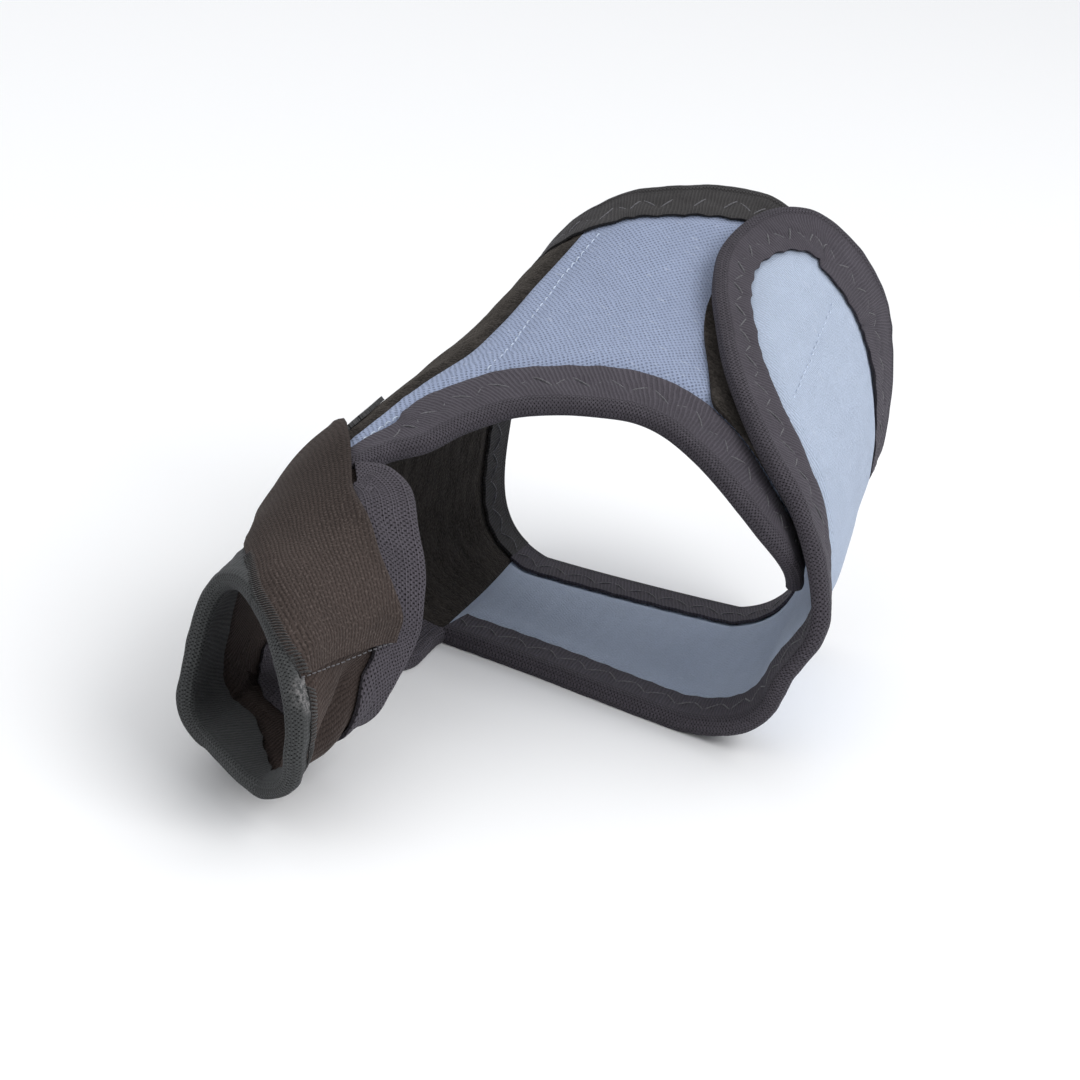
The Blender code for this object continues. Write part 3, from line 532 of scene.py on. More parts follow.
def thinned(places, least):
    """The places without those that crowd an earlier one."""
    spots = last.surface(*places.T)
    kept = np.zeros(len(spots), bool)
    for index, spot in enumerate(spots):
        near = np.abs(spots[:index] - spot).max(1) < least
        kept[index] = not (near & kept[:index]).any()
    return places[kept]


def walled(name, places, heights, faces, flat, look, node):
    """A piece of two faces, one above the other; its points are the lower face's, then the upper's."""
    points = np.vstack([last.place(*places.T, height) for height in heights])
    return finished(name, points, faces, np.vstack([flat, flat]), look, node)


def outline(runs):
    """The closed outline of a sheet, drawn in by half a gap where it is taped."""
    loop = []
    for number, (path, widths) in enumerate(runs):
        before, before_widths = runs[number - 1]
        trim, trim_before = [0.0 if own is None else GAP / 2 for own in (widths, before_widths)]
        trimmed = shifted(path, 1.0, trim)
        trimmed[0] = path[0, :2] + inward(path, 1.0)[0] * trim + inward(before, 1.0)[-1] * trim_before
        loop.append(trimmed[:-1])
    return np.vstack(loop)


def distances(runs, places):
    """How far each place lies past the nearest tape, from the nearest seam and from any edge."""
    spots = last.surface(places[:, 0], places[:, 1])
    far = np.full(len(spots), 1.0)
    tapes, seams, apart = [far], [far], []
    for path, widths in runs:
        edge = last.surface(path[:, 0], path[:, 1])
        apart.append(from_line(spots, edge))
        if widths is None:
            seams.append(apart[-1])
        else:
            tapes.append(beyond(spots, edge, widths))
    return np.min(tapes, axis=0), np.min(seams, axis=0), np.min(apart, axis=0)


def ring_places(runs, loop):
    """Places in rings along the edges, where the wall swells."""
    fill = []
    for path, widths in runs:
        own = np.zeros(len(path)) if widths is None else widths
        depths = RING_DEPTHS if widths is None else (0.0,) + RING_DEPTHS
        reach = SEAM_SWELL if widths is None else SWELL
        for depth in depths:
            ring = shifted(path, 1.0, own + depth * reach)
            past_tape, from_seam, from_edge = distances(runs, ring)
            past = from_seam if widths is None else past_tape
            fill.append(ring[(past > depth * reach * 0.9 - own * 0.03) & (from_edge > EDGE_STEP * 0.5)])
    rings = thinned(np.vstack(fill), EDGE_STEP * 0.5)
    return rings[inside(rings, loop)]


def net_places(loop, rings, girth):
    """An even net of places inside the loop and clear of the rings."""
    low, high = loop.min(0), loop.max(0)
    steps = np.array([FILL_STEP / LAST_LENGTH, FILL_STEP / girth])
    spread = [np.arange(low[k] + steps[k] / 2, high[k], steps[k]) for k in (0, 1)]
    grid = np.stack(np.meshgrid(*spread, indexing="ij"), -1).reshape(-1, 2)
    grid = grid[inside(grid, loop)]
    spots, rivals = last.surface(*grid.T), last.surface(*np.vstack([loop, rings]).T)
    clear = np.ones(len(spots), bool)
    for first in range(0, len(spots), 1000):
        apart = np.linalg.norm(spots[first : first + 1000, None] - rivals[None], axis=2)
        clear[first : first + 1000] = apart.min(1) > FILL_STEP * 0.6
    return grid[clear]


def sheet(name, runs, girth, heights, look, node):
    """A sheet of cloth inside the closed loop of runs, with a wall between two heights."""
    loop = outline(runs)
    rings = ring_places(runs, loop)
    places = np.vstack([loop, rings, net_places(loop, rings, girth)])
    flat = [Vector((along * LAST_LENGTH / MM, around * girth / MM)) for along, around in places]
    rim = [(i, (i + 1) % len(loop)) for i in range(len(loop))]
    drawn, _, faces, _, _, _ = geometry.delaunay_2d_cdt(flat, rim, [], 1, 1e-4)
    places = np.array([(spot.x * MM / LAST_LENGTH, spot.y * MM / girth) for spot in drawn])
    past_tape, from_seam, _ = distances(runs, places)
    count = len(places)
    uses = set()
    for face in faces:
        uses.update(zip(face, list(face[1:]) + [face[0]]))
    rim = [edge for edge in uses if (edge[1], edge[0]) not in uses]
    whole = [[index + count for index in face] for face in faces]
    whole += [list(reversed(face)) for face in faces]
    whole += [[start, end, end + count, start + count] for start, end in sorted(rim)]
    levels = heights(*places.T, past_tape, from_seam)
    return walled(name, places, levels, whole, last.spread(*places.T), look, node)


def strap_lift(along, around):
    """The strap's climb on to the band's own end."""
    return LAP * (1.0 - eased(LAP_TO, LAP_FROM, around))


def groove(along, around, rows, depth, width):
    """A narrow stitched valley along a line of places."""
    path = curve_through(rows)
    apart = from_line(last.surface(along, around), last.surface(*path.T))
    return depth * np.exp(-((apart / width) ** 2))


def wall_heights(seed, lift=None, stitched=(), wave=0.16 * MM):
    """Heights of padded cloth with gentle waves: thin below a tape and at a seam, full between."""

    def heights(along, around, past_tape, from_seam):
        full = np.minimum(eased(0.0, SWELL, past_tape), eased(0.0, SEAM_SWELL, from_seam))
        raised = lift(along, around) if lift else 0.0
        spots = last.surface(along, around)
        relief = wave * ripple(spots, 17 * MM, seed) + wave * 0.5 * ripple(spots, 7 * MM, seed + 1)
        for rows in stitched:
            relief -= groove(along, around, rows, *STITCH_VALLEY)
        low = PRESSED_IN + (GAP - PRESSED_IN) * full + raised
        high = PRESSED_OUT + (FACE - PRESSED_OUT) * full + relief * full + raised
        return low, high

    return heights


def even_heights(low, high, seed):
    """Heights of an even thin layer with a slight wave."""

    def heights(along, around, past_tape, from_seam):
        relief = 0.05 * MM * ripple(last.surface(along, around), 6 * MM, seed)
        return np.full(len(along), low), high + relief

    return heights


class Band:
    """A binding tape folded over an edge: where its legs lie, and how high. LEVELS are its depths."""

    LEVELS = np.arange(-2.0, 17.0, 1.0) * MM

    def __init__(self, path, widths, side, lift=None, closed=False, seed=3):
        if closed:
            spots = [shifted(path, side, level, True) for level in self.LEVELS]
            spots = [np.vstack([spot, spot[:1] + [0.0, 2.0]]) for spot in spots]
            path, widths = np.vstack([path, path[:1] + [0.0, 2.0]]), np.append(widths, widths[0])
        else:
            spots = [shifted(path, side, level) for level in self.LEVELS]
        self.grid = np.stack(spots, 1)
        self.run = run_of(last.place(path[:, 0], path[:, 1], FACE))
        self.widths, self.lift, self.closed, self.seed = widths, lift, closed, seed
        self.length = self.run[-1]

    def at(self, run, depth):
        """The place this far along the tape and this deep in from the edge."""
        i = np.clip(np.searchsorted(self.run, run) - 1, 0, len(self.run) - 2)
        a = ((run - self.run[i]) / (self.run[i + 1] - self.run[i]))[..., None]
        row = np.clip((depth - self.LEVELS[0]) / MM, 0, len(self.LEVELS) - 1.001)
        j = row.astype(int)
        b = (row - j)[..., None]
        near = self.grid[i, j] * (1 - b) + self.grid[i, j + 1] * b
        far = self.grid[i + 1, j] * (1 - b) + self.grid[i + 1, j + 1] * b
        return near * (1 - a) + far * a

    def width(self, run):
        """The tape's width here."""
        return np.interp(run, self.run, self.widths)

    def zigzag(self, run):
        """How deep the zigzag's middle line lies here."""
        tapes = bpy.context.scene.brace_tapes
        periods = max(1, round(self.length / tapes.zigzag_period))
        swing = 2.0 * np.abs(2.0 * np.mod(run * periods / self.length, 1.0) - 1.0) - 1.0
        reach = np.minimum(tapes.zigzag_reach, self.width(run) * ZIGZAG_SWING) / 2
        return self.width(run) * ZIGZAG_MIDDLE + reach * swing

    def rise(self, run, depth):
        """How far the outer leg's face stands above the cloth's face."""
        width = self.width(run)
        share = np.clip(depth / width, 0.0, 1.0)
        bead = 0.20 * np.exp(-(((depth - 0.7 * MM) / (0.6 * MM)) ** 2))
        puff = 0.16 * np.sin(np.pi * np.clip(share, 0, 1)) ** 0.7 - 0.10 * eased(0.93, 1.0, share)
        valley = -0.20 * np.exp(-(((depth - self.zigzag(run)) / (0.55 * MM)) ** 2))
        bound = -0.10 * np.exp(-(((share - ZIGZAG_MIDDLE) / 0.22) ** 2))
        spots = last.surface(*np.moveaxis(self.at(run, depth), -1, 0))
        flat = spots.reshape(-1, 3)
        swell = 0.10 * ripple(flat, 6 * MM, self.seed) + 0.06 * ripple(flat, 2.6 * MM, self.seed + 1)
        return (bead + puff + valley + bound + swell.reshape(share.shape)) * MM

    def spots(self, run, depth, height):
        """Points on the tape, this high above the last and the tape's own climb."""
        places = self.at(run, depth)
        along, around = places[..., 0], places[..., 1]
        if self.lift:
            height = height + self.lift(along.ravel(), around.ravel()).reshape(run.shape)
        return last.place(along, around, height)


def tape_rings(band, stations):
    """Depth and height of each corner of the tape's section, from the outer leg's free edge round."""
    none = np.zeros(len(stations))
    bays = np.abs(np.sin(np.pi * stations / bpy.context.scene.brace_tapes.scallop_pitch))
    width = band.width(stations) - SCALLOP_DEPTH * bays
    rings = []
    for share in np.linspace(1.0, 0.0, OUTER_RINGS):
        depth = width * share
        rings.append((depth, FACE + band.rise(stations, depth)))
    top = band.rise(stations, none)
    middle = FACE / 2
    for turn in np.radians(np.linspace(68, -68, FOLD_RINGS)):
        out = (GAP / 2 + TAPE * 1.2) * np.cos(turn)
        rings.append((none - out, middle + (middle + top * (turn > 0)) * np.sin(turn)))
    for share in np.linspace(0.0, 1.0, INNER_RINGS):
        rings.append((width * share, none + INNER_FACE))
    for height, shares in ((TAPE, (0.995, 0.5, 0.02)), (FACE - TAPE, (0.02, 0.5, 0.995))):
        rings += [(width * share, none + height) for share in shares]
    return rings


def tube_faces(rows, size, closed):
    """Faces of a tube of this many rows and corners, with its ends shut unless it runs in a ring."""
    faces = []
    for row in range(rows if closed else rows - 1):
        here, there = row * size, (row + 1) % rows * size
        for corner in range(size):
            following = (corner + 1) % size
            faces.append([here + corner, here + following, there + following, there + corner])
    if not closed:
        faces.append(list(range(size)))
        faces.append([(rows - 1) * size + corner for corner in reversed(range(size))])
    return faces


def tape(name, band, look):
    """The tape as a closed piece: outer leg, round fold, inner leg and the hidden faces between."""
    count = max(8, int(round(band.length / TAPE_STEP)))
    stations = np.linspace(0.0, band.length, count + 1)
    if band.closed:
        stations = stations[:-1]
    spots = [band.spots(stations, depth, height) for depth, height in tape_rings(band, stations)]
    steps = [stations * 0.0] + [np.linalg.norm(b - a, axis=1) for a, b in zip(spots, spots[1:])]
    across = np.cumsum(np.stack(steps, 1), axis=1)
    fold = OUTER_RINGS + FOLD_RINGS // 2
    across = across - across[:, fold : fold + 1]
    points = np.stack(spots, 1)
    rows, size = points.shape[:2]
    spread = np.stack([np.broadcast_to(stations[:, None], across.shape), across], -1).reshape(-1, 2)
    faces = tube_faces(rows, size, band.closed)
    made = finished(name + "_tape", points.reshape(-1, 3), faces, spread, look, name)
    return made


# Threads


def thread_tree():
    """Nodes that turn loose edges into round threads."""
    tree = bpy.data.node_groups.new("threads_along_edges", "GeometryNodeTree")
    sockets = {}
    for label, kind, value in (
        ("Lines", "NodeSocketGeometry", None),
        ("Radius", "NodeSocketFloat", 0.16 * MM),
        ("Sides", "NodeSocketInt", THREAD_SIDES),
        ("Finish", "NodeSocketMaterial", None),
    ):
        socket = tree.interface.new_socket(label, in_out="INPUT", socket_type=kind)
        sockets[label] = socket.identifier
        if value is not None:
            socket.default_value = value
    tree.interface.new_socket("Threads", in_out="OUTPUT", socket_type="NodeSocketGeometry")
    start = tree.nodes.new("NodeGroupInput")
    end = tree.nodes.new("NodeGroupOutput")
    curve = tree.nodes.new("GeometryNodeMeshToCurve")
    circle = tree.nodes.new("GeometryNodeCurvePrimitiveCircle")
    solid = tree.nodes.new("GeometryNodeCurveToMesh")
    smooth = tree.nodes.new("GeometryNodeSetShadeSmooth")
    whole = tree.nodes.new("GeometryNodeRealizeInstances")
    finish = tree.nodes.new("GeometryNodeSetMaterial")
    solid.inputs["Fill Caps"].default_value = True
    link = tree.links.new
    link(start.outputs["Lines"], curve.inputs["Mesh"])
    link(start.outputs["Radius"], circle.inputs["Radius"])
    link(start.outputs["Sides"], circle.inputs["Resolution"])
    link(curve.outputs["Curve"], solid.inputs["Curve"])
    link(circle.outputs["Curve"], solid.inputs["Profile Curve"])
    link(solid.outputs["Mesh"], smooth.inputs[0])
    link(smooth.outputs[0], whole.inputs[0])
    link(whole.outputs[0], finish.inputs["Geometry"])
    link(start.outputs["Finish"], finish.inputs["Material"])
    link(finish.outputs["Geometry"], end.inputs[0])
    return tree, sockets


def threads(name, lines, radius, look):
    """Round threads along the lines, each a row of points, as one plain mesh on the root."""
    points = np.vstack(lines)
    edges, count = [], 0
    for line in lines:
        edges += [(count + k, count + k + 1) for k in range(len(line) - 1)]
        count += len(line)
    mesh = bpy.data.meshes.new(name + "_lines")
    mesh.from_pydata([tuple(point) for point in points], edges, [])
    rough = bpy.data.objects.new(name + "_lines", mesh)
    bpy.context.scene.collection.objects.link(rough)
    tree, sockets = thread_tree()
    modifier = rough.modifiers.new("threads", "NODES")
    modifier.node_group = tree
    modifier[sockets["Radius"]] = radius
    modifier[sockets["Finish"]] = look
    drawn = bpy.data.meshes.new_from_object(rough.evaluated_get(bpy.context.evaluated_depsgraph_get()))
    drawn.name = name
    bpy.data.objects.remove(rough, do_unlink=True)
    made = bpy.data.objects.new(name, drawn)
    bpy.context.scene.collection.objects.link(made)
    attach(made, "root")
    return made


def zigzag_lines(band, radius, seed, start=0.0):
    """The zigzag's legs on the tape's outer face and, sunk deeper, on its inner face, from start on."""
    chance = np.random.default_rng(seed)
    tapes = bpy.context.scene.brace_tapes
    half = band.length / max(1, round(band.length / tapes.zigzag_period)) / 2
    share = np.linspace(0.0, 1.0, 7)
    lines = []
    for number in range(int(start / half), int(band.length / half)):
        run = (number + share) * half
        run = np.clip(run, 0.3 * MM, band.length - 0.3 * MM)
        depth = band.zigzag(run) + 0.08 * MM * chance.normal()
        sunk = 0.05 * MM if number % 2 else -0.04 * MM
        sunk += 0.05 * MM * chance.normal()
        arch = radius * (2.6 * np.sin(np.pi * share) ** 0.6 - 2.0)
        lines.append(band.spots(run, depth, FACE + band.rise(run, depth) + arch - sunk))
        lines.append(band.spots(run, depth, INNER_FACE - arch * 0.7 - 0.02 * MM))
    return lines


def run_lines(rows, pitch, gap, radius, height, seed):
    """Straight stitches along a line of places, each dipping into the cloth at both ends."""
    chance = np.random.default_rng(seed)
    path = curve_through(rows, 0.4 * MM)
    run = run_of(last.place(*path.T, FACE))
    share = np.linspace(0.0, 1.0, 6)
    lines = []
    for number in range(int(run[-1] / pitch)):
        reach = number * pitch + (pitch - gap) * share
        spots = np.stack([np.interp(reach, run, path[:, k]) for k in (0, 1)])
        spots[1] += 0.0006 * chance.normal()
        arch = radius * (2.4 * np.sin(np.pi * share) ** 0.6 - 1.9)
        lines.append(last.place(*spots, height(*spots) + arch))
    return lines


def overlock_lines(path, side, face, seed):
    """Slanted stitches over an edge, with a chain along it; face gives the height at each depth."""
    chance = np.random.default_rng(seed)
    ways = smoothed(inward(path, side), rounds=6)
    run = run_of(last.place(path[:, 0], path[:, 1], FACE))
    share = np.linspace(0.0, 1.0, 6)
    lines = []
    for number in range(int(run[-1] / OVERLOCK_PITCH)):
        reach = number * OVERLOCK_PITCH + OVERLOCK_SLANT * share
        depth = OVERLOCK_START + OVERLOCK_REACH * share + 0.1 * MM * chance.normal()
        whole = np.column_stack([path[:, :2], ways])
        at = np.stack([np.interp(reach, run, whole[:, k]) for k in range(4)], -1)
        spots = at[:, :2] + at[:, 2:] * depth[:, None]
        sunk = 0.10 * MM * (1.0 - np.sin(np.pi * share) ** 0.5)
        lines.append(last.place(*spots.T, face(*spots.T, depth) - sunk))
    edge = path[:, :2] - ways * OVERLOCK_CHAIN
    lines.append(last.place(*edge.T, face(*edge.T, np.full(len(edge), -OVERLOCK_CHAIN)) - 0.12 * MM))
    return lines


# Cuff


def cuff_rims(count=CUFF_STATIONS):
    """The places along the cuff's front rim and its rear rim, round from the ridge."""
    table = columns(CUFF_ROWS)
    looped = np.concatenate([table, table[:, :1] + np.array([[2.0], [0.0], [0.0]])], 1)
    around = np.linspace(0.0, 2.0, count, endpoint=False)
    return [np.stack([fitted(looped[0], along, around), around], -1) for along in looped[1:]]


def front_tape_widths(ring):
    """Widths of the cuff's front tape at these places of its rim."""
    return TAPE_WIDTH * np.interp(ring[:, 1], *columns(FRONT_TAPE))


def cuff_dent(along, around):
    """Depth of the fold in the cuff's outer side."""
    rows = np.array(CUFF_FOLD)
    share, apart = nearest(last.surface(along, around), last.surface(rows[:, 0], rows[:, 1]))
    depths = rows[:-1, 2] + share * np.diff(rows[:, 2])
    return CUFF_FOLD_DEPTH * (depths * np.exp(-((apart / CUFF_FOLD_WIDTH) ** 2))).max(1)


def cuff_tape():
    """The path of the tape that runs on from the cuff's rear rim to the medial panel's edge."""
    rear = cuff_rims()[1]
    turn = np.where(rear[:, 1] > 1.6, rear[:, 1] - 2.0, rear[:, 1])
    rim = np.stack([rear[:, 0], turn], -1)[np.argsort(turn)]
    rim = rim[(rim[:, 1] > CUFF_TAPE_START) & (rim[:, 1] < CUFF_TAPE_TURN)]
    rim_widths = TAPE_WIDTH * np.interp(rim[:, 1], *columns(CORNER_TAPE))
    edge, edge_widths = edge_of(MEDIAL_EDGE)
    rows = np.vstack([
        np.column_stack([rim, rim_widths]),
        np.column_stack([edge[2:] + [0.0, 2.0], edge_widths[2:]]),
    ])
    rows = smoothed(rows, rounds=6)
    run = run_of(last.place(rows[:, 0], rows[:, 1], FACE))
    even = np.linspace(0.0, run[-1], int(run[-1] / TAPE_STEP))
    rows = np.stack([np.interp(even, run, rows[:, k]) for k in range(3)], -1)
    return rows[:, :2], rows[:, 2]


def cuff_rings():
    """Rings of places from the cuff's front rim to its rear rim, closer together near both."""
    front, rear = cuff_rims()
    full, sewn = TAPE_WIDTH, TAPE_WIDTH * SEWN_SHARE
    near = (GAP / 2, 1.2 * MM, sewn, sewn + 0.9 * MM, sewn + SWELL)
    near += (full * 0.7, full, full + SWELL * 0.5, full + SWELL)
    far = (full + SWELL, full + SWELL * 0.5, full, full * 0.7)
    far += (SEAM_SWELL * 2, SEAM_SWELL, SEAM_SWELL / 2, GAP / 2)
    rings = [shifted(front, 1.0, depth, True) for depth in near]
    close = [shifted(rear, -1.0, depth, True) for depth in far]
    between = np.linspace(0, 1, 16)[1:-1]
    return rings + [rings[-1] + (close[0] - rings[-1]) * share for share in between] + close


def cuff_heights(places):
    """The cuff's inner and outer face: pressed at the tapes and the seam, and folded on one side."""
    spots = last.surface(*places.T)
    path, widths = cuff_tape()
    past_rear = beyond(spots, last.surface(*path.T), widths - 0.2 * MM)
    front = cuff_rims()[0]
    ring = np.vstack([front, front[:1]])
    past_front = beyond(spots, last.surface(*ring.T), front_tape_widths(ring))
    from_seam = from_line(spots, last.surface(*curve_through(MEDIAL_FRONT).T))
    full = eased(0.0, SWELL, np.minimum(past_rear, past_front))
    full = np.minimum(full, eased(0.0, SEAM_SWELL, from_seam))
    dent = cuff_dent(*places.T)
    relief = 0.18 * MM * ripple(spots, 8 * MM, 41) + 0.08 * MM * ripple(spots, 3 * MM, 42)
    low = PRESSED_IN + (GAP - PRESSED_IN) * full - dent
    high = PRESSED_OUT + (FACE - PRESSED_OUT) * full - dent + relief * full
    return low, high


def make_cuff(look):
    """The closed sleeve round the front of the inner side."""
    rings = np.array(cuff_rings())
    rows, count = rings.shape[:2]
    places = rings.reshape(-1, 2)
    shift = rows * count
    faces = []
    for turn in range(count):
        following = (turn + 1) % count
        for row in range(rows - 1):
            square = [row * count + turn, row * count + following]
            square += [(row + 1) * count + following, (row + 1) * count + turn]
            faces.append([index + shift for index in square])
            faces.append(square[::-1])
        for row in (0, rows - 1):
            a, b = row * count + turn, row * count + following
            faces.append([a, b, b + shift, a + shift] if row else [b, a, a + shift, b + shift])
    along, turns = places.T
    flat = last.spread(along, np.where(turns > 1.2, turns - 2.0, turns))
    heights = cuff_heights(places)
    made = walled("cuff_cloth", places, heights, faces, flat, look, "toe_cuff")
    return made


# Pull strap


def elastic_wave(spots):
    """The elastic's gentle rise and fall."""
    return 0.16 * MM * ripple(spots, 12 * MM, 51)


def elastic_places():
    """Places over the elastic, in rows from its sewn end and across from its front edge."""
    edges = []
    for rows in (ELASTIC_FRONT, ELASTIC_REAR):
        fine = curve_through(rows, 0.5 * MM)
        share, even = np.linspace(0, 1, len(fine)), np.linspace(0, 1, ELASTIC_STATIONS)
        edges.append(np.stack([np.interp(even, share, fine[:, k]) for k in (0, 1)], -1))
    front, rear = edges
    across = np.linspace(0.0, 1.0, ELASTIC_COLUMNS)[None, :, None]
    return front[:, None] * (1 - across) + rear[:, None] * across


def elastic_heights(grid, spots, u, v, over):
    """The elastic's lower and upper face: flush where it is sewn, and over the hook tab behind."""
    along, around = grid[..., 0], grid[..., 1]
    rise = (TAB_OUT - FACE) * (eased(0.05, -0.18, around) * eased(0.30, 0.42, along))
    sewn = eased(0.0, ELASTIC_SEWN, u)
    laid = (1 - eased(0.0, ELASTIC_LAID, v)) * (1 - eased(0.26, 0.36, along))
    low = STRAP_IN + rise - np.maximum(1 - sewn, laid) * (STRAP_IN - FACE + 0.15 * MM)
    from_edge = np.minimum(v, over[:, None] - v)
    rolled = 0.16 * MM * np.exp(-((from_edge - 0.9 * MM) / (0.7 * MM)) ** 2)
    thick = ELASTIC * (0.35 + 0.65 * sewn) * (0.62 + 0.38 * eased(0.0, 0.9 * MM, from_edge)) + rolled
    thick *= 1.0 - 0.45 * laid
    low = (low + elastic_wave(spots.reshape(-1, 3)).reshape(low.shape)).ravel()
    return low, low + thick.ravel()


def make_pull_strap(look):
    """The elastic from beside the cuff over its top to the inner side of the band."""
    grid = elastic_places()
    length, width = grid.shape[:2]
    places = grid.reshape(-1, 2)
    spots = last.surface(*places.T).reshape(length, width, 3)
    down = run_of(spots[:, width // 2])
    over = np.linalg.norm(spots[:, -1] - spots[:, 0], axis=1)
    u = np.broadcast_to(down[:, None], (length, width))
    v = np.linspace(0.0, 1.0, width)[None] * over[:, None]
    shift = length * width
    faces = []
    for i in range(length - 1):
        for j in range(width - 1):
            a = i * width + j
            square = [a, a + 1, a + width + 1, a + width]
            faces.append([k + shift for k in square])
            faces.append(square[::-1])
    rim = [i * width for i in range(length)] + [(length - 1) * width + j for j in range(1, width)]
    rim += [i * width + width - 1 for i in reversed(range(length - 1))]
    rim += list(reversed(range(1, width - 1)))
    for a, b in zip(rim, rim[1:] + rim[:1]):
        faces.append([a, b, b + shift, a + shift])
    flat = np.stack([u, v], -1).reshape(-1, 2)
    heights = elastic_heights(grid, spots, u, v, over)
    made = walled("pull_strap", places, heights, faces, flat, look, "toe_strap")
    return made


# Panels, strap and patches


def make_instep_cloth(look):
    """The blue panel over the instep, with its tongue."""
    front, front_widths = edge_of(INSTEP_FRONT)
    rear, rear_widths = edge_of(INSTEP_REAR)
    runs = (
        (front, front_widths),
        (curve_through((INSTEP_FRONT[-1][:2], INSTEP_REAR[-1][:2])), None),
        (rear[::-1], rear_widths[::-1]),
        (curve_through(INSTEP_SEAM)[::-1], None),
        (curve_through((INSTEP_SEAM[0], INSTEP_FRONT[0][:2])), None),
    )
    heights = wall_heights(11, stitched=(PANEL_STITCH, TONGUE_STITCH))
    made = sheet("instep_cloth", runs, BLUE_GIRTH, heights, look, "instep_panel")
    return made


def make_medial_cloth(look):
    """The velour panel down the inner side."""
    rear, rear_widths = edge_of(MEDIAL_REAR)
    edge, edge_widths = edge_of(MEDIAL_EDGE)
    runs = (
        (curve_through(INSTEP_SEAM), None),
        (rear, rear_widths),
        (curve_through(PLANTAR_SEAM)[::-1], None),
        (edge[::-1], edge_widths[::-1]),
        (curve_through(MEDIAL_FRONT)[::-1], None),
    )
    made = sheet("medial_cloth", runs, MEDIAL_GIRTH, wall_heights(12), look, "medial_panel")
    return made


def make_strap_cloth(look):
    """The closing strap, whose round end laps over the instep panel."""
    rim, widths = edge_of(STRAP_RIM)
    runs = ((rim[::-1], widths[::-1]), (curve_through(STRAP_SEAM)[::-1], None))
    heights = wall_heights(13, strap_lift, (TAB_STITCH,))
    made = sheet("strap_cloth", runs, BLUE_GIRTH, heights, look, "closure_strap")
    return made


def clear_of_tape(rows, side, around):
    """Where a patch may begin beside a taped edge, at each of these places around."""
    path, widths = edge_of(rows)
    clear = shifted(path, side, widths - GAP)
    order = np.argsort(clear[:, 1])
    return np.interp(around, clear[order, 1], clear[order, 0])


def make_fastening_loops(look):
    """The fastening velour under the strap's end, whose edge shows beside the strap."""
    rim = curve_through(LOOP_RIM)
    front_around = np.linspace(rim[0, 1], LOOP_END, 12)
    rear_around = np.linspace(rim[-1, 1], LOOP_END, 12)
    front = np.stack([clear_of_tape(INSTEP_FRONT, 1.0, front_around), front_around], -1)
    rear = np.stack([clear_of_tape(INSTEP_REAR, -1.0, rear_around), rear_around], -1)
    front, rear = curve_through(front), curve_through(rear)
    rim[0], rim[-1] = front[0], rear[0]
    runs = (
        (front, None),
        (curve_through((front[-1], rear[-1])), None),
        (rear[::-1], None),
        (smoothed(rim, rounds=6)[::-1], None),
    )
    heights = even_heights(LOOP_IN, LOOP_OUT, 14)
    made = sheet("fastening_loops", runs, BLUE_GIRTH, heights, look, "loop_patch")
    return made


def make_hook_tab(look):
    """The hook tape below the elastic's end, whose rim shows past it."""
    corners = [curve_through((a, b)) for a, b in zip(HOOK_TAB, HOOK_TAB[1:] + HOOK_TAB[:1])]
    runs = [(path, None) for path in corners]
    heights = even_heights(FACE + 0.06 * MM, TAB_OUT, 15)
    made = sheet("hook_tab", runs, TAB_GIRTH, heights, look, "strap_hook_tab")
    return made


# Finishes


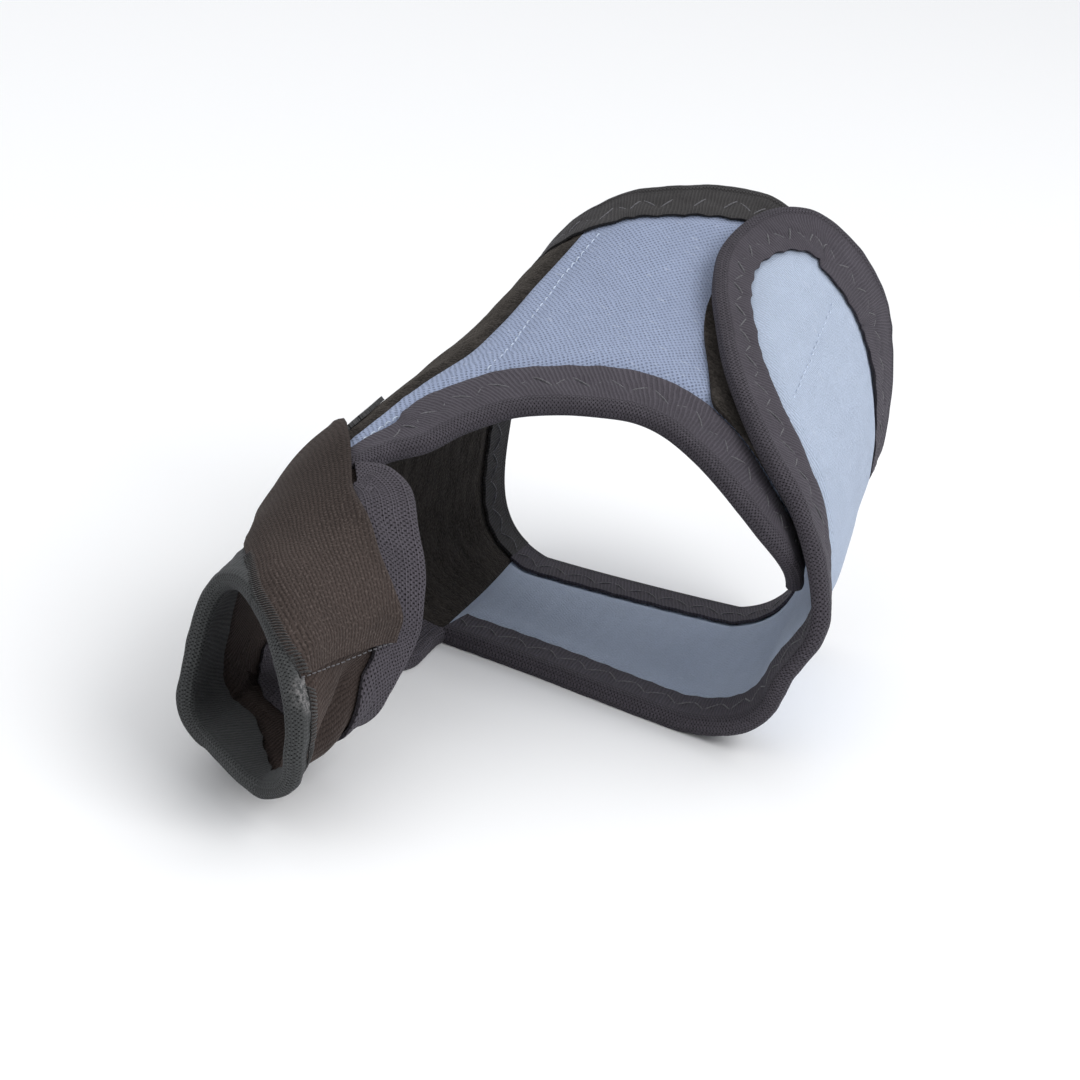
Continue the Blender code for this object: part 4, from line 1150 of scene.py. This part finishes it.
class Look:
    """A material that is put together node by node."""

    def __init__(self, name, roughness, sheen=0.0, sheen_roughness=0.5, sheen_tint=(1, 1, 1), specular=0.2):
        self.made = bpy.data.materials.new(name)
        self.made.use_nodes = True
        self.tree = self.made.node_tree
        self.shader = self.tree.nodes["Principled BSDF"]
        self.shader.inputs["Roughness"].default_value = roughness
        self.shader.inputs["Specular IOR Level"].default_value = specular
        self.shader.inputs["Sheen Weight"].default_value = sheen
        self.shader.inputs["Sheen Roughness"].default_value = sheen_roughness
        self.shader.inputs["Sheen Tint"].default_value = (*sheen_tint, 1.0)
        spots = self.node("ShaderNodeTexCoord")
        self.place = spots.outputs["Object"]
        cloth = self.node("ShaderNodeUVMap", uv_map="cloth")
        self.cloth = cloth.outputs[0]
        parts = self.node("ShaderNodeSeparateXYZ", {0: self.cloth})
        self.run = self.math("MULTIPLY", parts.outputs[0], 1000.0)
        self.across = self.math("MULTIPLY", parts.outputs[1], 1000.0)

    def feed(self, socket, value):
        """Links a socket, or sets a value."""
        if isinstance(value, bpy.types.NodeSocket):
            self.tree.links.new(value, socket)
        else:
            socket.default_value = value

    def node(self, kind, inputs=None, **settings):
        made = self.tree.nodes.new(kind)
        for name, value in settings.items():
            setattr(made, name, value)
        for key, value in (inputs or {}).items():
            self.feed(made.inputs[key], value)
        return made

    def math(self, operation, first, second=0.0, third=0.0):
        return self.node("ShaderNodeMath", {0: first, 1: second, 2: third}, operation=operation).outputs[0]

    def waves(self, value, pitch, turn=0.0):
        """A wave between -1 and 1 with this pitch in millimetres."""
        angle = self.math("MULTIPLY_ADD", value, 2 * np.pi / pitch, turn)
        return self.math("COSINE", angle)

    def ramp(self, value, low, high):
        """0 below low, 1 above high, with a smooth climb."""
        inputs = {"Value": value, "From Min": low, "From Max": high}
        return self.node("ShaderNodeMapRange", inputs, interpolation_type="SMOOTHSTEP").outputs[0]

    def noise(self, size, detail=2.0, stretch=(1, 1, 1), cloth=False, turn=0.0):
        """Even noise with blotches of this size in millimetres."""
        start = self.cloth if cloth else self.place
        inputs = {"Vector": start, "Scale": stretch, "Rotation": (0, 0, turn)}
        place = self.node("ShaderNodeMapping", inputs)
        inputs = {"Vector": place.outputs[0], "Scale": 1 / (size * MM), "Detail": detail}
        return self.node("ShaderNodeTexNoise", inputs).outputs[0]

    def mix(self, share, first, second):
        made = self.tree.nodes.new("ShaderNodeMix")
        made.data_type = "RGBA"
        for socket, value in ((made.inputs[0], share), (made.inputs[6], first), (made.inputs[7], second)):
            self.feed(socket, (*value, 1.0) if isinstance(value, tuple) and len(value) == 3 else value)
        return made.outputs[2]

    def laid(self, whole, mask, share, colour):
        """The whole with a colour laid over it at this share, where the mask is 1."""
        return self.mix(self.math("MULTIPLY", mask, share), whole, colour)

    def relief(self, height, depth, before=None):
        """A bump this deep, in millimetres, on top of the one before it."""
        inputs = {"Height": height, "Distance": depth * MM, "Strength": 1.0}
        if before is not None:
            inputs["Normal"] = before
        return self.node("ShaderNodeBump", inputs).outputs[0]

    def finish(self, colour, normal):
        self.feed(self.shader.inputs["Base Color"], colour)
        self.feed(self.shader.inputs["Normal"], normal)
        return self.made


def shaded(colour, share):
    """The colour darker or lighter by this share."""
    return tuple(value * share for value in colour)


def blue_tricot(name, colour, pitch, ribs):
    """Brushed tricot: small dark dots on a slanted lattice, or fine ribs where ribs is 1."""
    look = Look(name, 0.9, sheen=0.10, sheen_roughness=0.4, sheen_tint=(0.85, 0.92, 1.0), specular=0.10)
    drift = look.noise(1.6, 2.0)
    run = look.math("MULTIPLY_ADD", drift, 0.45, look.run)
    across = look.math("MULTIPLY_ADD", drift, 0.45, look.across)
    lattice = pitch / MM * 2**0.5
    one = look.waves(look.math("ADD", run, across), lattice)
    two = look.waves(look.math("SUBTRACT", run, across), lattice)
    dots = look.ramp(look.math("MULTIPLY_ADD", one, 0.5, look.math("MULTIPLY", two, 0.5)), 0.15, 0.85)
    lines = look.ramp(look.waves(look.math("MULTIPLY_ADD", across, 0.12, run), pitch / MM * 0.72), 0.1, 0.9)
    dots = look.math("MULTIPLY", dots, 1.0 - 0.72 * ribs)
    holes = look.math("MAXIMUM", dots, look.math("MULTIPLY", lines, 0.65 * ribs))
    grain = look.noise(0.28, 2.0)
    cloud = look.noise(9.0, 3.0)
    wisps = look.ramp(look.noise(0.5, 3.0, (1, 0.22, 1), cloth=True, turn=0.5), 0.60, 0.74)
    whole = look.laid(colour, holes, 0.62, shaded(colour, 0.42))
    whole = look.laid(whole, look.ramp(grain, 0.35, 0.75), 0.20, shaded(colour, 1.45))
    whole = look.laid(whole, look.ramp(cloud, 0.35, 0.7), 0.16, shaded(colour, 0.72))
    whole = look.laid(whole, wisps, 0.22, WISPS)
    bumps = look.relief(look.math("MULTIPLY", holes, -1.0), 0.16)
    bumps = look.relief(grain, 0.10, bumps)
    return look.finish(whole, bumps)


def dark_velour(name, colour):
    """Short loop pile that catches light at its edge."""
    look = Look(name, 0.95, sheen=0.10, sheen_roughness=0.35, sheen_tint=(0.85, 0.75, 0.66), specular=0.06)
    tufts = look.noise(0.45, 3.0)
    brushed = look.noise(3.2, 3.0, (1, 1.6, 0.5))
    flecks = look.ramp(look.noise(0.24, 1.0), 0.66, 0.78)
    whole = look.mix(look.ramp(tufts, 0.35, 0.7), shaded(colour, 0.55), shaded(colour, 1.25))
    whole = look.laid(whole, look.ramp(brushed, 0.4, 0.7), 0.4, shaded(colour, 1.9))
    whole = look.laid(whole, flecks, 0.30, shaded(colour, 4.5))
    bumps = look.relief(tufts, 0.30)
    bumps = look.relief(brushed, 0.35, bumps)
    return look.finish(whole, bumps)


def knitted_tape(name, colour, rows, mesh=0.0, worn=0.0):
    """Binding tape: rows of small holes along the fold, then fine ribs across it, and a worn spot."""
    look = Look(name, 0.82, sheen=0.05, sheen_roughness=0.45, sheen_tint=(0.9, 0.88, 1.0), specular=0.15)
    drift = look.noise(2.4, 2.0)
    run = look.math("MULTIPLY_ADD", drift, 0.5, look.run)
    depth = look.math("MULTIPLY_ADD", drift, 0.35, look.math("ABSOLUTE", look.across))
    pores = []
    for pitch, share in ((MESH_PITCH, mesh), (TAPE_PITCH, 1.0 - mesh)):
        net = look.math("MULTIPLY", look.waves(run, pitch[0]), look.waves(depth, pitch[1]))
        pores.append(look.math("MULTIPLY", look.ramp(net, 0.2, 0.8), share))
    near = look.math("SUBTRACT", 1.0, look.ramp(depth, rows - 0.5, rows + 0.4))
    near = look.math("MAXIMUM", near, mesh)
    holes = look.math("MULTIPLY", look.math("MAXIMUM", *pores), near)
    slant = look.math("MULTIPLY_ADD", depth, 0.22, run)
    ribs = look.ramp(look.waves(slant, TAPE_PITCH[0]), -0.5, 0.7)
    ribs = look.math("MULTIPLY", ribs, look.math("MULTIPLY_ADD", near, -0.75, 1.0))
    ridges = look.math("MULTIPLY", look.ramp(look.waves(depth, TAPE_PITCH[1], 3.1), 0.2, 0.9), near)
    grain = look.noise(0.3, 2.0)
    cloud = look.noise(7.0, 3.0)
    whole = look.laid(colour, ribs, 0.55, shaded(colour, 1.75))
    whole = look.laid(whole, ridges, 0.42, shaded(colour, 2.1))
    whole = look.mix(holes, whole, shaded(colour, 0.10))
    whole = look.laid(whole, look.ramp(cloud, 0.35, 0.7), 0.25, shaded(colour, 0.6))
    whole = look.laid(whole, look.ramp(grain, 0.45, 0.8), 0.25, shaded(colour, 2.4))
    if worn:
        places = {0: look.place, 1: tuple(last.place(*WORN_SPOT, FACE))}
        apart = look.node("ShaderNodeVectorMath", places, operation="DISTANCE").outputs["Value"]
        apart = look.math("MULTIPLY", apart, 1.0 / worn)
        lint = look.math("MULTIPLY", look.ramp(look.noise(0.6, 4.0), 0.38, 0.62), 0.8)
        whole = look.laid(whole, look.math("SUBTRACT", 1.0, look.ramp(apart, 0.35, 1.0)), lint, LINT)
    bumps = look.relief(look.math("SUBTRACT", look.math("MULTIPLY_ADD", ribs, 0.6, ridges), holes), 0.20)
    bumps = look.relief(grain, 0.08, bumps)
    return look.finish(whole, bumps)


def brown_elastic(name, colour, pitch):
    """Ribbed elastic with a soft face and pale specks of its core."""
    look = Look(name, 0.85, sheen=0.07, sheen_roughness=0.4, sheen_tint=(0.85, 0.7, 0.64), specular=0.12)
    drift = look.noise(3.0, 2.0)
    across = look.math("MULTIPLY_ADD", drift, 0.6, look.across)
    ribs = look.waves(across, pitch / MM)
    picks = look.waves(look.math("MULTIPLY_ADD", look.waves(across, pitch / MM * 2), 0.2, look.run), 0.55)
    weave = look.math("MULTIPLY_ADD", picks, 0.4, ribs)
    specks = look.ramp(look.noise(0.30, 2.0, (1, 0.6, 1), cloth=True), 0.50, 0.70)
    cloud = look.noise(7.0, 3.0)
    near = look.math("SUBTRACT", 1.0, look.ramp(look.run, 8.0, 34.0))
    tint = look.mix(near, shaded(colour, 0.85), shaded(colour, 1.5))
    shade = look.mix(near, shaded(colour, 0.5), shaded(colour, 0.8))
    whole = look.mix(look.ramp(weave, -1.1, 0.2), shade, tint)
    whole = look.laid(whole, look.ramp(cloud, 0.35, 0.7), 0.35, shaded(colour, 0.55))
    whole = look.laid(whole, specks, look.math("MULTIPLY_ADD", near, 0.16, 0.14), ELASTIC_CORE)
    bumps = look.relief(weave, 0.045)
    bumps = look.relief(look.noise(0.3, 2.0), 0.10, bumps)
    return look.finish(whole, bumps)


def spun_thread(name, colour):
    """Twisted sewing thread."""
    look = Look(name, 0.6, sheen=0.2, specular=0.3)
    ply = look.noise(0.22, 2.0)
    whole = look.mix(look.ramp(ply, 0.3, 0.7), shaded(colour, 0.55), shaded(colour, 1.2))
    return look.finish(whole, look.relief(ply, 0.06))


def hook_plastic(name, colour):
    """Black moulded hook tape with a fine ground weave."""
    look = Look(name, 0.45, specular=0.5)
    weave = look.math("MULTIPLY", look.waves(look.run, 0.9), look.waves(look.across, 0.9))
    grain = look.noise(0.4, 2.0)
    whole = look.mix(look.ramp(weave, -0.6, 0.8), shaded(colour, 0.6), shaded(colour, 1.8))
    whole = look.laid(whole, look.ramp(grain, 0.6, 0.75), 0.5, HOOK_GLINT)
    return look.finish(whole, look.relief(weave, 0.15))


def pale_floor(name, colour):
    """A smooth pale studio floor."""
    look = Look(name, 0.7, specular=0.2)
    cloud = look.noise(900.0, 1.0)
    return look.finish(look.mix(cloud, colour, FLOOR_BRIGHT), look.relief(cloud, 0.01))


FINISHES = {}


def finish(name):
    """The named finish, made once in the scene's own colours."""
    if name not in FINISHES:
        colours = bpy.context.scene.brace_colours
        recipes = {
            "blue_tricot": (blue_tricot, colours.panel, colours.knit_pitch, 0.0),
            # The strap's lighter blue is painted light: its face that turns to the lamp is drawn lighter
            # than the panel's blue, over its own ribbed weave.
            "blue_ribbed": (blue_tricot, colours.strap, colours.knit_pitch, 1.0),
            "dark_velour": (dark_velour, colours.velour),
            "knitted_tape": (knitted_tape, colours.binding, 3.4),
            "rear_tape": (knitted_tape, colours.rear_binding, 3.4),
            "cuff_front_knit": (knitted_tape, colours.cuff_front, 2.0, 0.0, WORN_REACH),
            "cuff_mesh": (knitted_tape, colours.mesh, 3.0, 1.0),
            "brown_elastic": (brown_elastic, colours.elastic, colours.rib_pitch),
            "cuff_knit": (brown_elastic, colours.cuff, colours.rib_pitch * 0.8),
            "pale_thread": (spun_thread, colours.thread),
            "blue_thread": (spun_thread, colours.blue_thread),
            "black_thread": (spun_thread, BLACK_THREAD),
            "hook_plastic": (hook_plastic, BLACK_PLASTIC),
            "pale_floor": (pale_floor, FLOOR),
        }
        recipe, colour, *measures = recipes[name]
        FINISHES[name] = recipe(name, tuple(colour), *measures)
    return FINISHES[name]


# Settings


def length_setting(name, description, default, low, high):
    """A length among the settings, in metres."""
    return FloatProperty(
        name=name, description=description, default=default, min=low, max=high, unit="LENGTH", precision=5
    )


def colour_setting(name, description, default):
    """A colour among the settings."""
    return FloatVectorProperty(
        name=name, description=description, default=default, subtype="COLOR", min=0.0, max=1.0
    )


class BraceTapes(bpy.types.PropertyGroup):
    """Sizes of the bindings' stitching"""

    zigzag_period: length_setting(
        "Zigzag period", "One whole zigzag stitch along the tape", 5.6 * MM, 2 * MM, 12 * MM
    )
    zigzag_reach: length_setting(
        "Zigzag reach", "How far the zigzag swings across the tape", 2.4 * MM, 0.5 * MM, 5 * MM
    )
    scallop_pitch: length_setting(
        "Scallop pitch", "Spacing of the shallow bays in the tape's free edge", 4.4 * MM, 2 * MM, 12 * MM
    )
    thread_radius: length_setting(
        "Thread radius", "Half the thickness of the zigzag's thread", 0.12 * MM, 0.05 * MM, 0.5 * MM
    )


class BraceColours(bpy.types.PropertyGroup):
    """Colours and weave sizes of the cloth"""

    panel: colour_setting("Panel blue", "Tricot of the instep panel", (0.295, 0.345, 0.48))
    # Strap blue is painted lighter than the panel's blue, as painted light on the strap's face that turns
    # to the lamp.
    strap: colour_setting("Strap blue", "Ribbed face of the closing strap", (0.46, 0.53, 0.66))
    velour: colour_setting("Velour", "Dark pile of the inner panel", (0.034, 0.030, 0.027))
    binding: colour_setting("Binding", "Knitted tape on the band's edges", (0.058, 0.052, 0.062))
    mesh: colour_setting("Mesh tape", "Open tape on the cuff's rear rim", (0.068, 0.061, 0.072))
    rear_binding: colour_setting("Rear binding", "Tape on the band's rear edge", (0.040, 0.038, 0.038))
    cuff_front: colour_setting("Cuff front", "Tape on the cuff's front rim", (0.050, 0.052, 0.052))
    elastic: colour_setting("Elastic", "Broad pull strap", (0.036, 0.027, 0.024))
    cuff: colour_setting("Cuff", "Cloth of the cuff", (0.048, 0.035, 0.031))
    thread: colour_setting("Zigzag thread", "Thread on the bindings", (0.118, 0.115, 0.126))
    blue_thread: colour_setting("Panel thread", "Thread of the straight stitches", (0.54, 0.62, 0.76))
    knit_pitch: length_setting("Knit pitch", "Spacing of the tricot's dots", 0.58 * MM, 0.2 * MM, 2 * MM)
    rib_pitch: length_setting("Rib pitch", "Spacing of the elastic's ribs", 0.75 * MM, 0.2 * MM, 3 * MM)


# Operators


BANDS = {}


def tape_bands():
    """The five taped edges, laid out once."""
    if not BANDS:
        front, front_widths = edge_of(TAPE_LEAD + INSTEP_FRONT, TAPE_STEP)
        BANDS["panel_front_binding"] = Band(front[:-1], front_widths[:-1], 1.0, seed=21)
        inner, inner_widths = edge_of(MEDIAL_REAR, TAPE_STEP)
        outer, outer_widths = edge_of(INSTEP_REAR, TAPE_STEP)
        rear = smoothed(np.vstack([inner[::-1][:-1], outer[:-1]]), rounds=4)
        widths = np.concatenate([inner_widths[::-1][:-1], outer_widths[:-1]])
        BANDS["panel_rear_binding"] = Band(rear, widths, -1.0, seed=22)
        rim, widths = edge_of(STRAP_RIM, TAPE_STEP)
        BANDS["strap_binding"] = Band(rim, widths, -1.0, strap_lift, seed=23)

        def follow_fold(along, around):
            return -cuff_dent(along, around)

        cuff_front = cuff_rims(FRONT_STATIONS)[0]
        widths = front_tape_widths(cuff_front)
        BANDS["cuff_front_binding"] = Band(cuff_front, widths, 1.0, follow_fold, True, seed=24)
        path, widths = cuff_tape()
        BANDS["cuff_rear_binding"] = Band(path, widths, -1.0, follow_fold, seed=25)
    return BANDS


class BRACE_OT_panels(bpy.types.Operator):
    """Lay the instep panel and the inner panel on the last"""

    bl_idname = "brace.panels"
    bl_label = "Panels"

    def execute(self, context):
        make_instep_cloth(finish("blue_tricot"))
        make_medial_cloth(finish("dark_velour"))
        return {"FINISHED"}


class BRACE_OT_strap(bpy.types.Operator):
    """Lay the closing strap and the fastening under its end"""

    bl_idname = "brace.strap"
    bl_label = "Closing strap"

    def execute(self, context):
        make_strap_cloth(finish("blue_ribbed"))
        make_fastening_loops(finish("dark_velour"))
        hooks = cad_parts["closure_hook_patch"]
        for slot in hooks.material_slots:
            slot.material = finish("hook_plastic")
        return {"FINISHED"}


class BRACE_OT_cuff(bpy.types.Operator):
    """Make the cuff's sleeve"""

    bl_idname = "brace.cuff"
    bl_label = "Cuff"

    def execute(self, context):
        make_cuff(finish("cuff_knit"))
        return {"FINISHED"}


class BRACE_OT_pull_strap(bpy.types.Operator):
    """Lay the broad elastic and the hook tab below its end"""

    bl_idname = "brace.pull_strap"
    bl_label = "Pull strap"

    def execute(self, context):
        make_pull_strap(finish("brown_elastic"))
        make_hook_tab(finish("hook_plastic"))
        return {"FINISHED"}


class BRACE_OT_bindings(bpy.types.Operator):
    """Fold the binding tapes over the edges"""

    bl_idname = "brace.bindings"
    bl_label = "Bindings"

    def execute(self, context):
        rests = {
            "panel_front_binding": ("knitted_tape", ["instep_cloth"]),
            "panel_rear_binding": ("rear_tape", ["instep_cloth", "medial_cloth"]),
            "strap_binding": ("knitted_tape", ["strap_cloth"]),
            "cuff_front_binding": ("cuff_front_knit", ["cuff_cloth"]),
            "cuff_rear_binding": ("cuff_mesh", ["cuff_cloth"]),
        }
        for name, band in tape_bands().items():
            look, below = rests[name]
            tape(name, band, finish(look))
        return {"FINISHED"}


class BRACE_OT_stitches(bpy.types.Operator):
    """Sew the zigzags on the tapes and the straight stitches on the blue cloth"""

    bl_idname = "brace.stitches"
    bl_label = "Stitches"

    def execute(self, context):
        radius = context.scene.brace_tapes.thread_radius
        for number, (name, band) in enumerate(tape_bands().items()):
            if not name.startswith("cuff"):
                start = ZIGZAG_LEAD if name == "panel_front_binding" else 0.0
                lines = zigzag_lines(band, radius, 60 + number, start)
                threads(name + "_zigzag", lines, radius, finish("pale_thread"))

        def elastic_face(along, around, depth):
            step = (0.32 + 0.42 * eased(-0.2 * MM, 0.8 * MM, depth)) * MM
            return FACE + step + elastic_wave(last.surface(along, around))

        def cuff_face(along, around, depth):
            return FACE + 0.24 * MM - cuff_dent(along, around)

        edge = curve_through([row for row in ELASTIC_FRONT if row[1] > OVERLOCK_LAST], 0.3 * MM)
        lines = overlock_lines(edge[::-1], 1.0, elastic_face, 74)
        rim = cuff_rims(STITCH_STATIONS)[0]
        rim = rim[(rim[:, 1] > OVERLOCK_RIM[0]) & (rim[:, 1] < OVERLOCK_RIM[1])]
        lines += overlock_lines(shifted(rim, 1.0, SEWN_SHARE * TAPE_WIDTH), 1.0, cuff_face, 75)
        threads("overlock_stitches", lines, OVERLOCK_RADIUS, finish("black_thread"))

        def seam_face(along, around):
            return FACE + 0.30 * MM + elastic_wave(last.surface(along, around))

        rows = [ELASTIC_FRONT[0], (0.160, 0.360), (0.210, 0.420), ELASTIC_REAR[0]]
        lines = run_lines(rows, *CROSS_STITCH, seam_face, 76)
        threads("cross_seam_stitches", lines, CROSS_STITCH[2], finish("pale_thread"))

        def panel_face(along, around):
            return FACE - STITCH_SUNK

        def tab_face(along, around):
            return FACE - STITCH_SUNK + strap_lift(along, around)

        lines = run_lines(PANEL_STITCH, *BLUE_STITCH, panel_face, 71)
        lines += run_lines(TONGUE_STITCH, *BLUE_STITCH, panel_face, 72)
        threads("panel_stitches", lines, BLUE_STITCH[2], finish("blue_thread"))
        lines = run_lines(TAB_STITCH, *BLUE_STITCH, tab_face, 73)
        threads("tab_stitches", lines, BLUE_STITCH[2], finish("blue_thread"))
        return {"FINISHED"}


# Stage


def linked(name, data):
    """An object of the stage, in the scene."""
    made = bpy.data.objects.new(name, data)
    bpy.context.scene.collection.objects.link(made)
    return made


def make_floor():
    """The plain pale floor."""
    turns = ((-1, -1), (1, -1), (1, 1), (-1, 1))
    corners = [(x * FLOOR_HALF, y * FLOOR_HALF, 0.0) for x, y in turns]
    mesh = bpy.data.meshes.new("floor")
    mesh.from_pydata(corners, [], [(0, 1, 2, 3)])
    mesh.uv_layers.new(name="cloth")
    mesh.materials.append(finish("pale_floor"))
    floor = linked("floor", mesh)


def make_lights():
    """The soft studio light."""
    scene = bpy.context.scene
    world = bpy.data.worlds.new("studio")
    world.use_nodes = True
    world.node_tree.nodes["Background"].inputs[0].default_value = STUDIO_AIR
    world.node_tree.nodes["Background"].inputs[1].default_value = STUDIO_STRENGTH
    scene.world = world
    scene.view_settings.view_transform = "Standard"
    for name, place, size, power in LIGHTS:
        light = bpy.data.lights.new(name, "AREA")
        light.shape = "SQUARE"
        light.size = size
        light.energy = power
        lamp = linked(name, light)
        lamp.location = place
        way = Vector(TARGET) - Vector(place)
        lamp.rotation_euler = way.to_track_quat("-Z", "Y").to_euler()


def make_camera():
    """The camera at the photo's angle."""
    turn, rise, roll = np.radians([CAMERA_TURN, CAMERA_RISE, CAMERA_ROLL])
    back = Vector((np.sin(turn) * np.cos(rise), -np.cos(turn) * np.cos(rise), np.sin(rise)))
    right = Vector((np.cos(turn), np.sin(turn), 0.0))
    up = back.cross(right)
    side = right * np.cos(roll) - up * np.sin(roll)
    head = right * np.sin(roll) + up * np.cos(roll)
    camera = bpy.data.cameras.new("camera")
    camera.sensor_width = SENSOR
    camera.lens = SENSOR * CAMERA_REACH
    view = linked("camera", camera)
    view.matrix_world = Matrix((side, head, back)).transposed().to_4x4()
    view.location = CAMERA_PLACE
    bpy.context.scene.camera = view


class BRACE_OT_stage(bpy.types.Operator):
    """Set the floor, the lights and the camera"""

    bl_idname = "brace.stage"
    bl_label = "Stage"

    def execute(self, context):
        make_floor()
        make_lights()
        make_camera()
        return {"FINISHED"}


class BRACE_PT_dressing(bpy.types.Panel):
    """Every piece of the dressing, in the order it is made"""

    bl_idname = "BRACE_PT_dressing"
    bl_label = "Bunion corrector"
    bl_space_type = "VIEW_3D"
    bl_region_type = "UI"
    bl_category = "Brace"

    def draw(self, context):
        layout = self.layout
        for group in (context.scene.brace_tapes, context.scene.brace_colours):
            for name in group.__annotations__:
                layout.prop(group, name)
        for operator in OPERATORS:
            layout.operator(operator.bl_idname)


OPERATORS = (
    BRACE_OT_stage,
    BRACE_OT_panels,
    BRACE_OT_strap,
    BRACE_OT_cuff,
    BRACE_OT_pull_strap,
    BRACE_OT_bindings,
    BRACE_OT_stitches,
)
CLASSES = (BraceTapes, BraceColours) + OPERATORS + (BRACE_PT_dressing,)


def register():
    for kind in CLASSES:
        bpy.utils.register_class(kind)
    bpy.types.Scene.brace_tapes = PointerProperty(type=BraceTapes)
    bpy.types.Scene.brace_colours = PointerProperty(type=BraceColours)


def unregister():
    del bpy.types.Scene.brace_colours
    del bpy.types.Scene.brace_tapes
    for kind in reversed(CLASSES):
        bpy.utils.unregister_class(kind)


def main():
    register()
    bpy.ops.brace.stage()
    bpy.ops.brace.panels()
    bpy.ops.brace.strap()
    bpy.ops.brace.cuff()
    bpy.ops.brace.pull_strap()
    bpy.ops.brace.bindings()
    bpy.ops.brace.stitches()


if __name__ == "__main__":
    main()
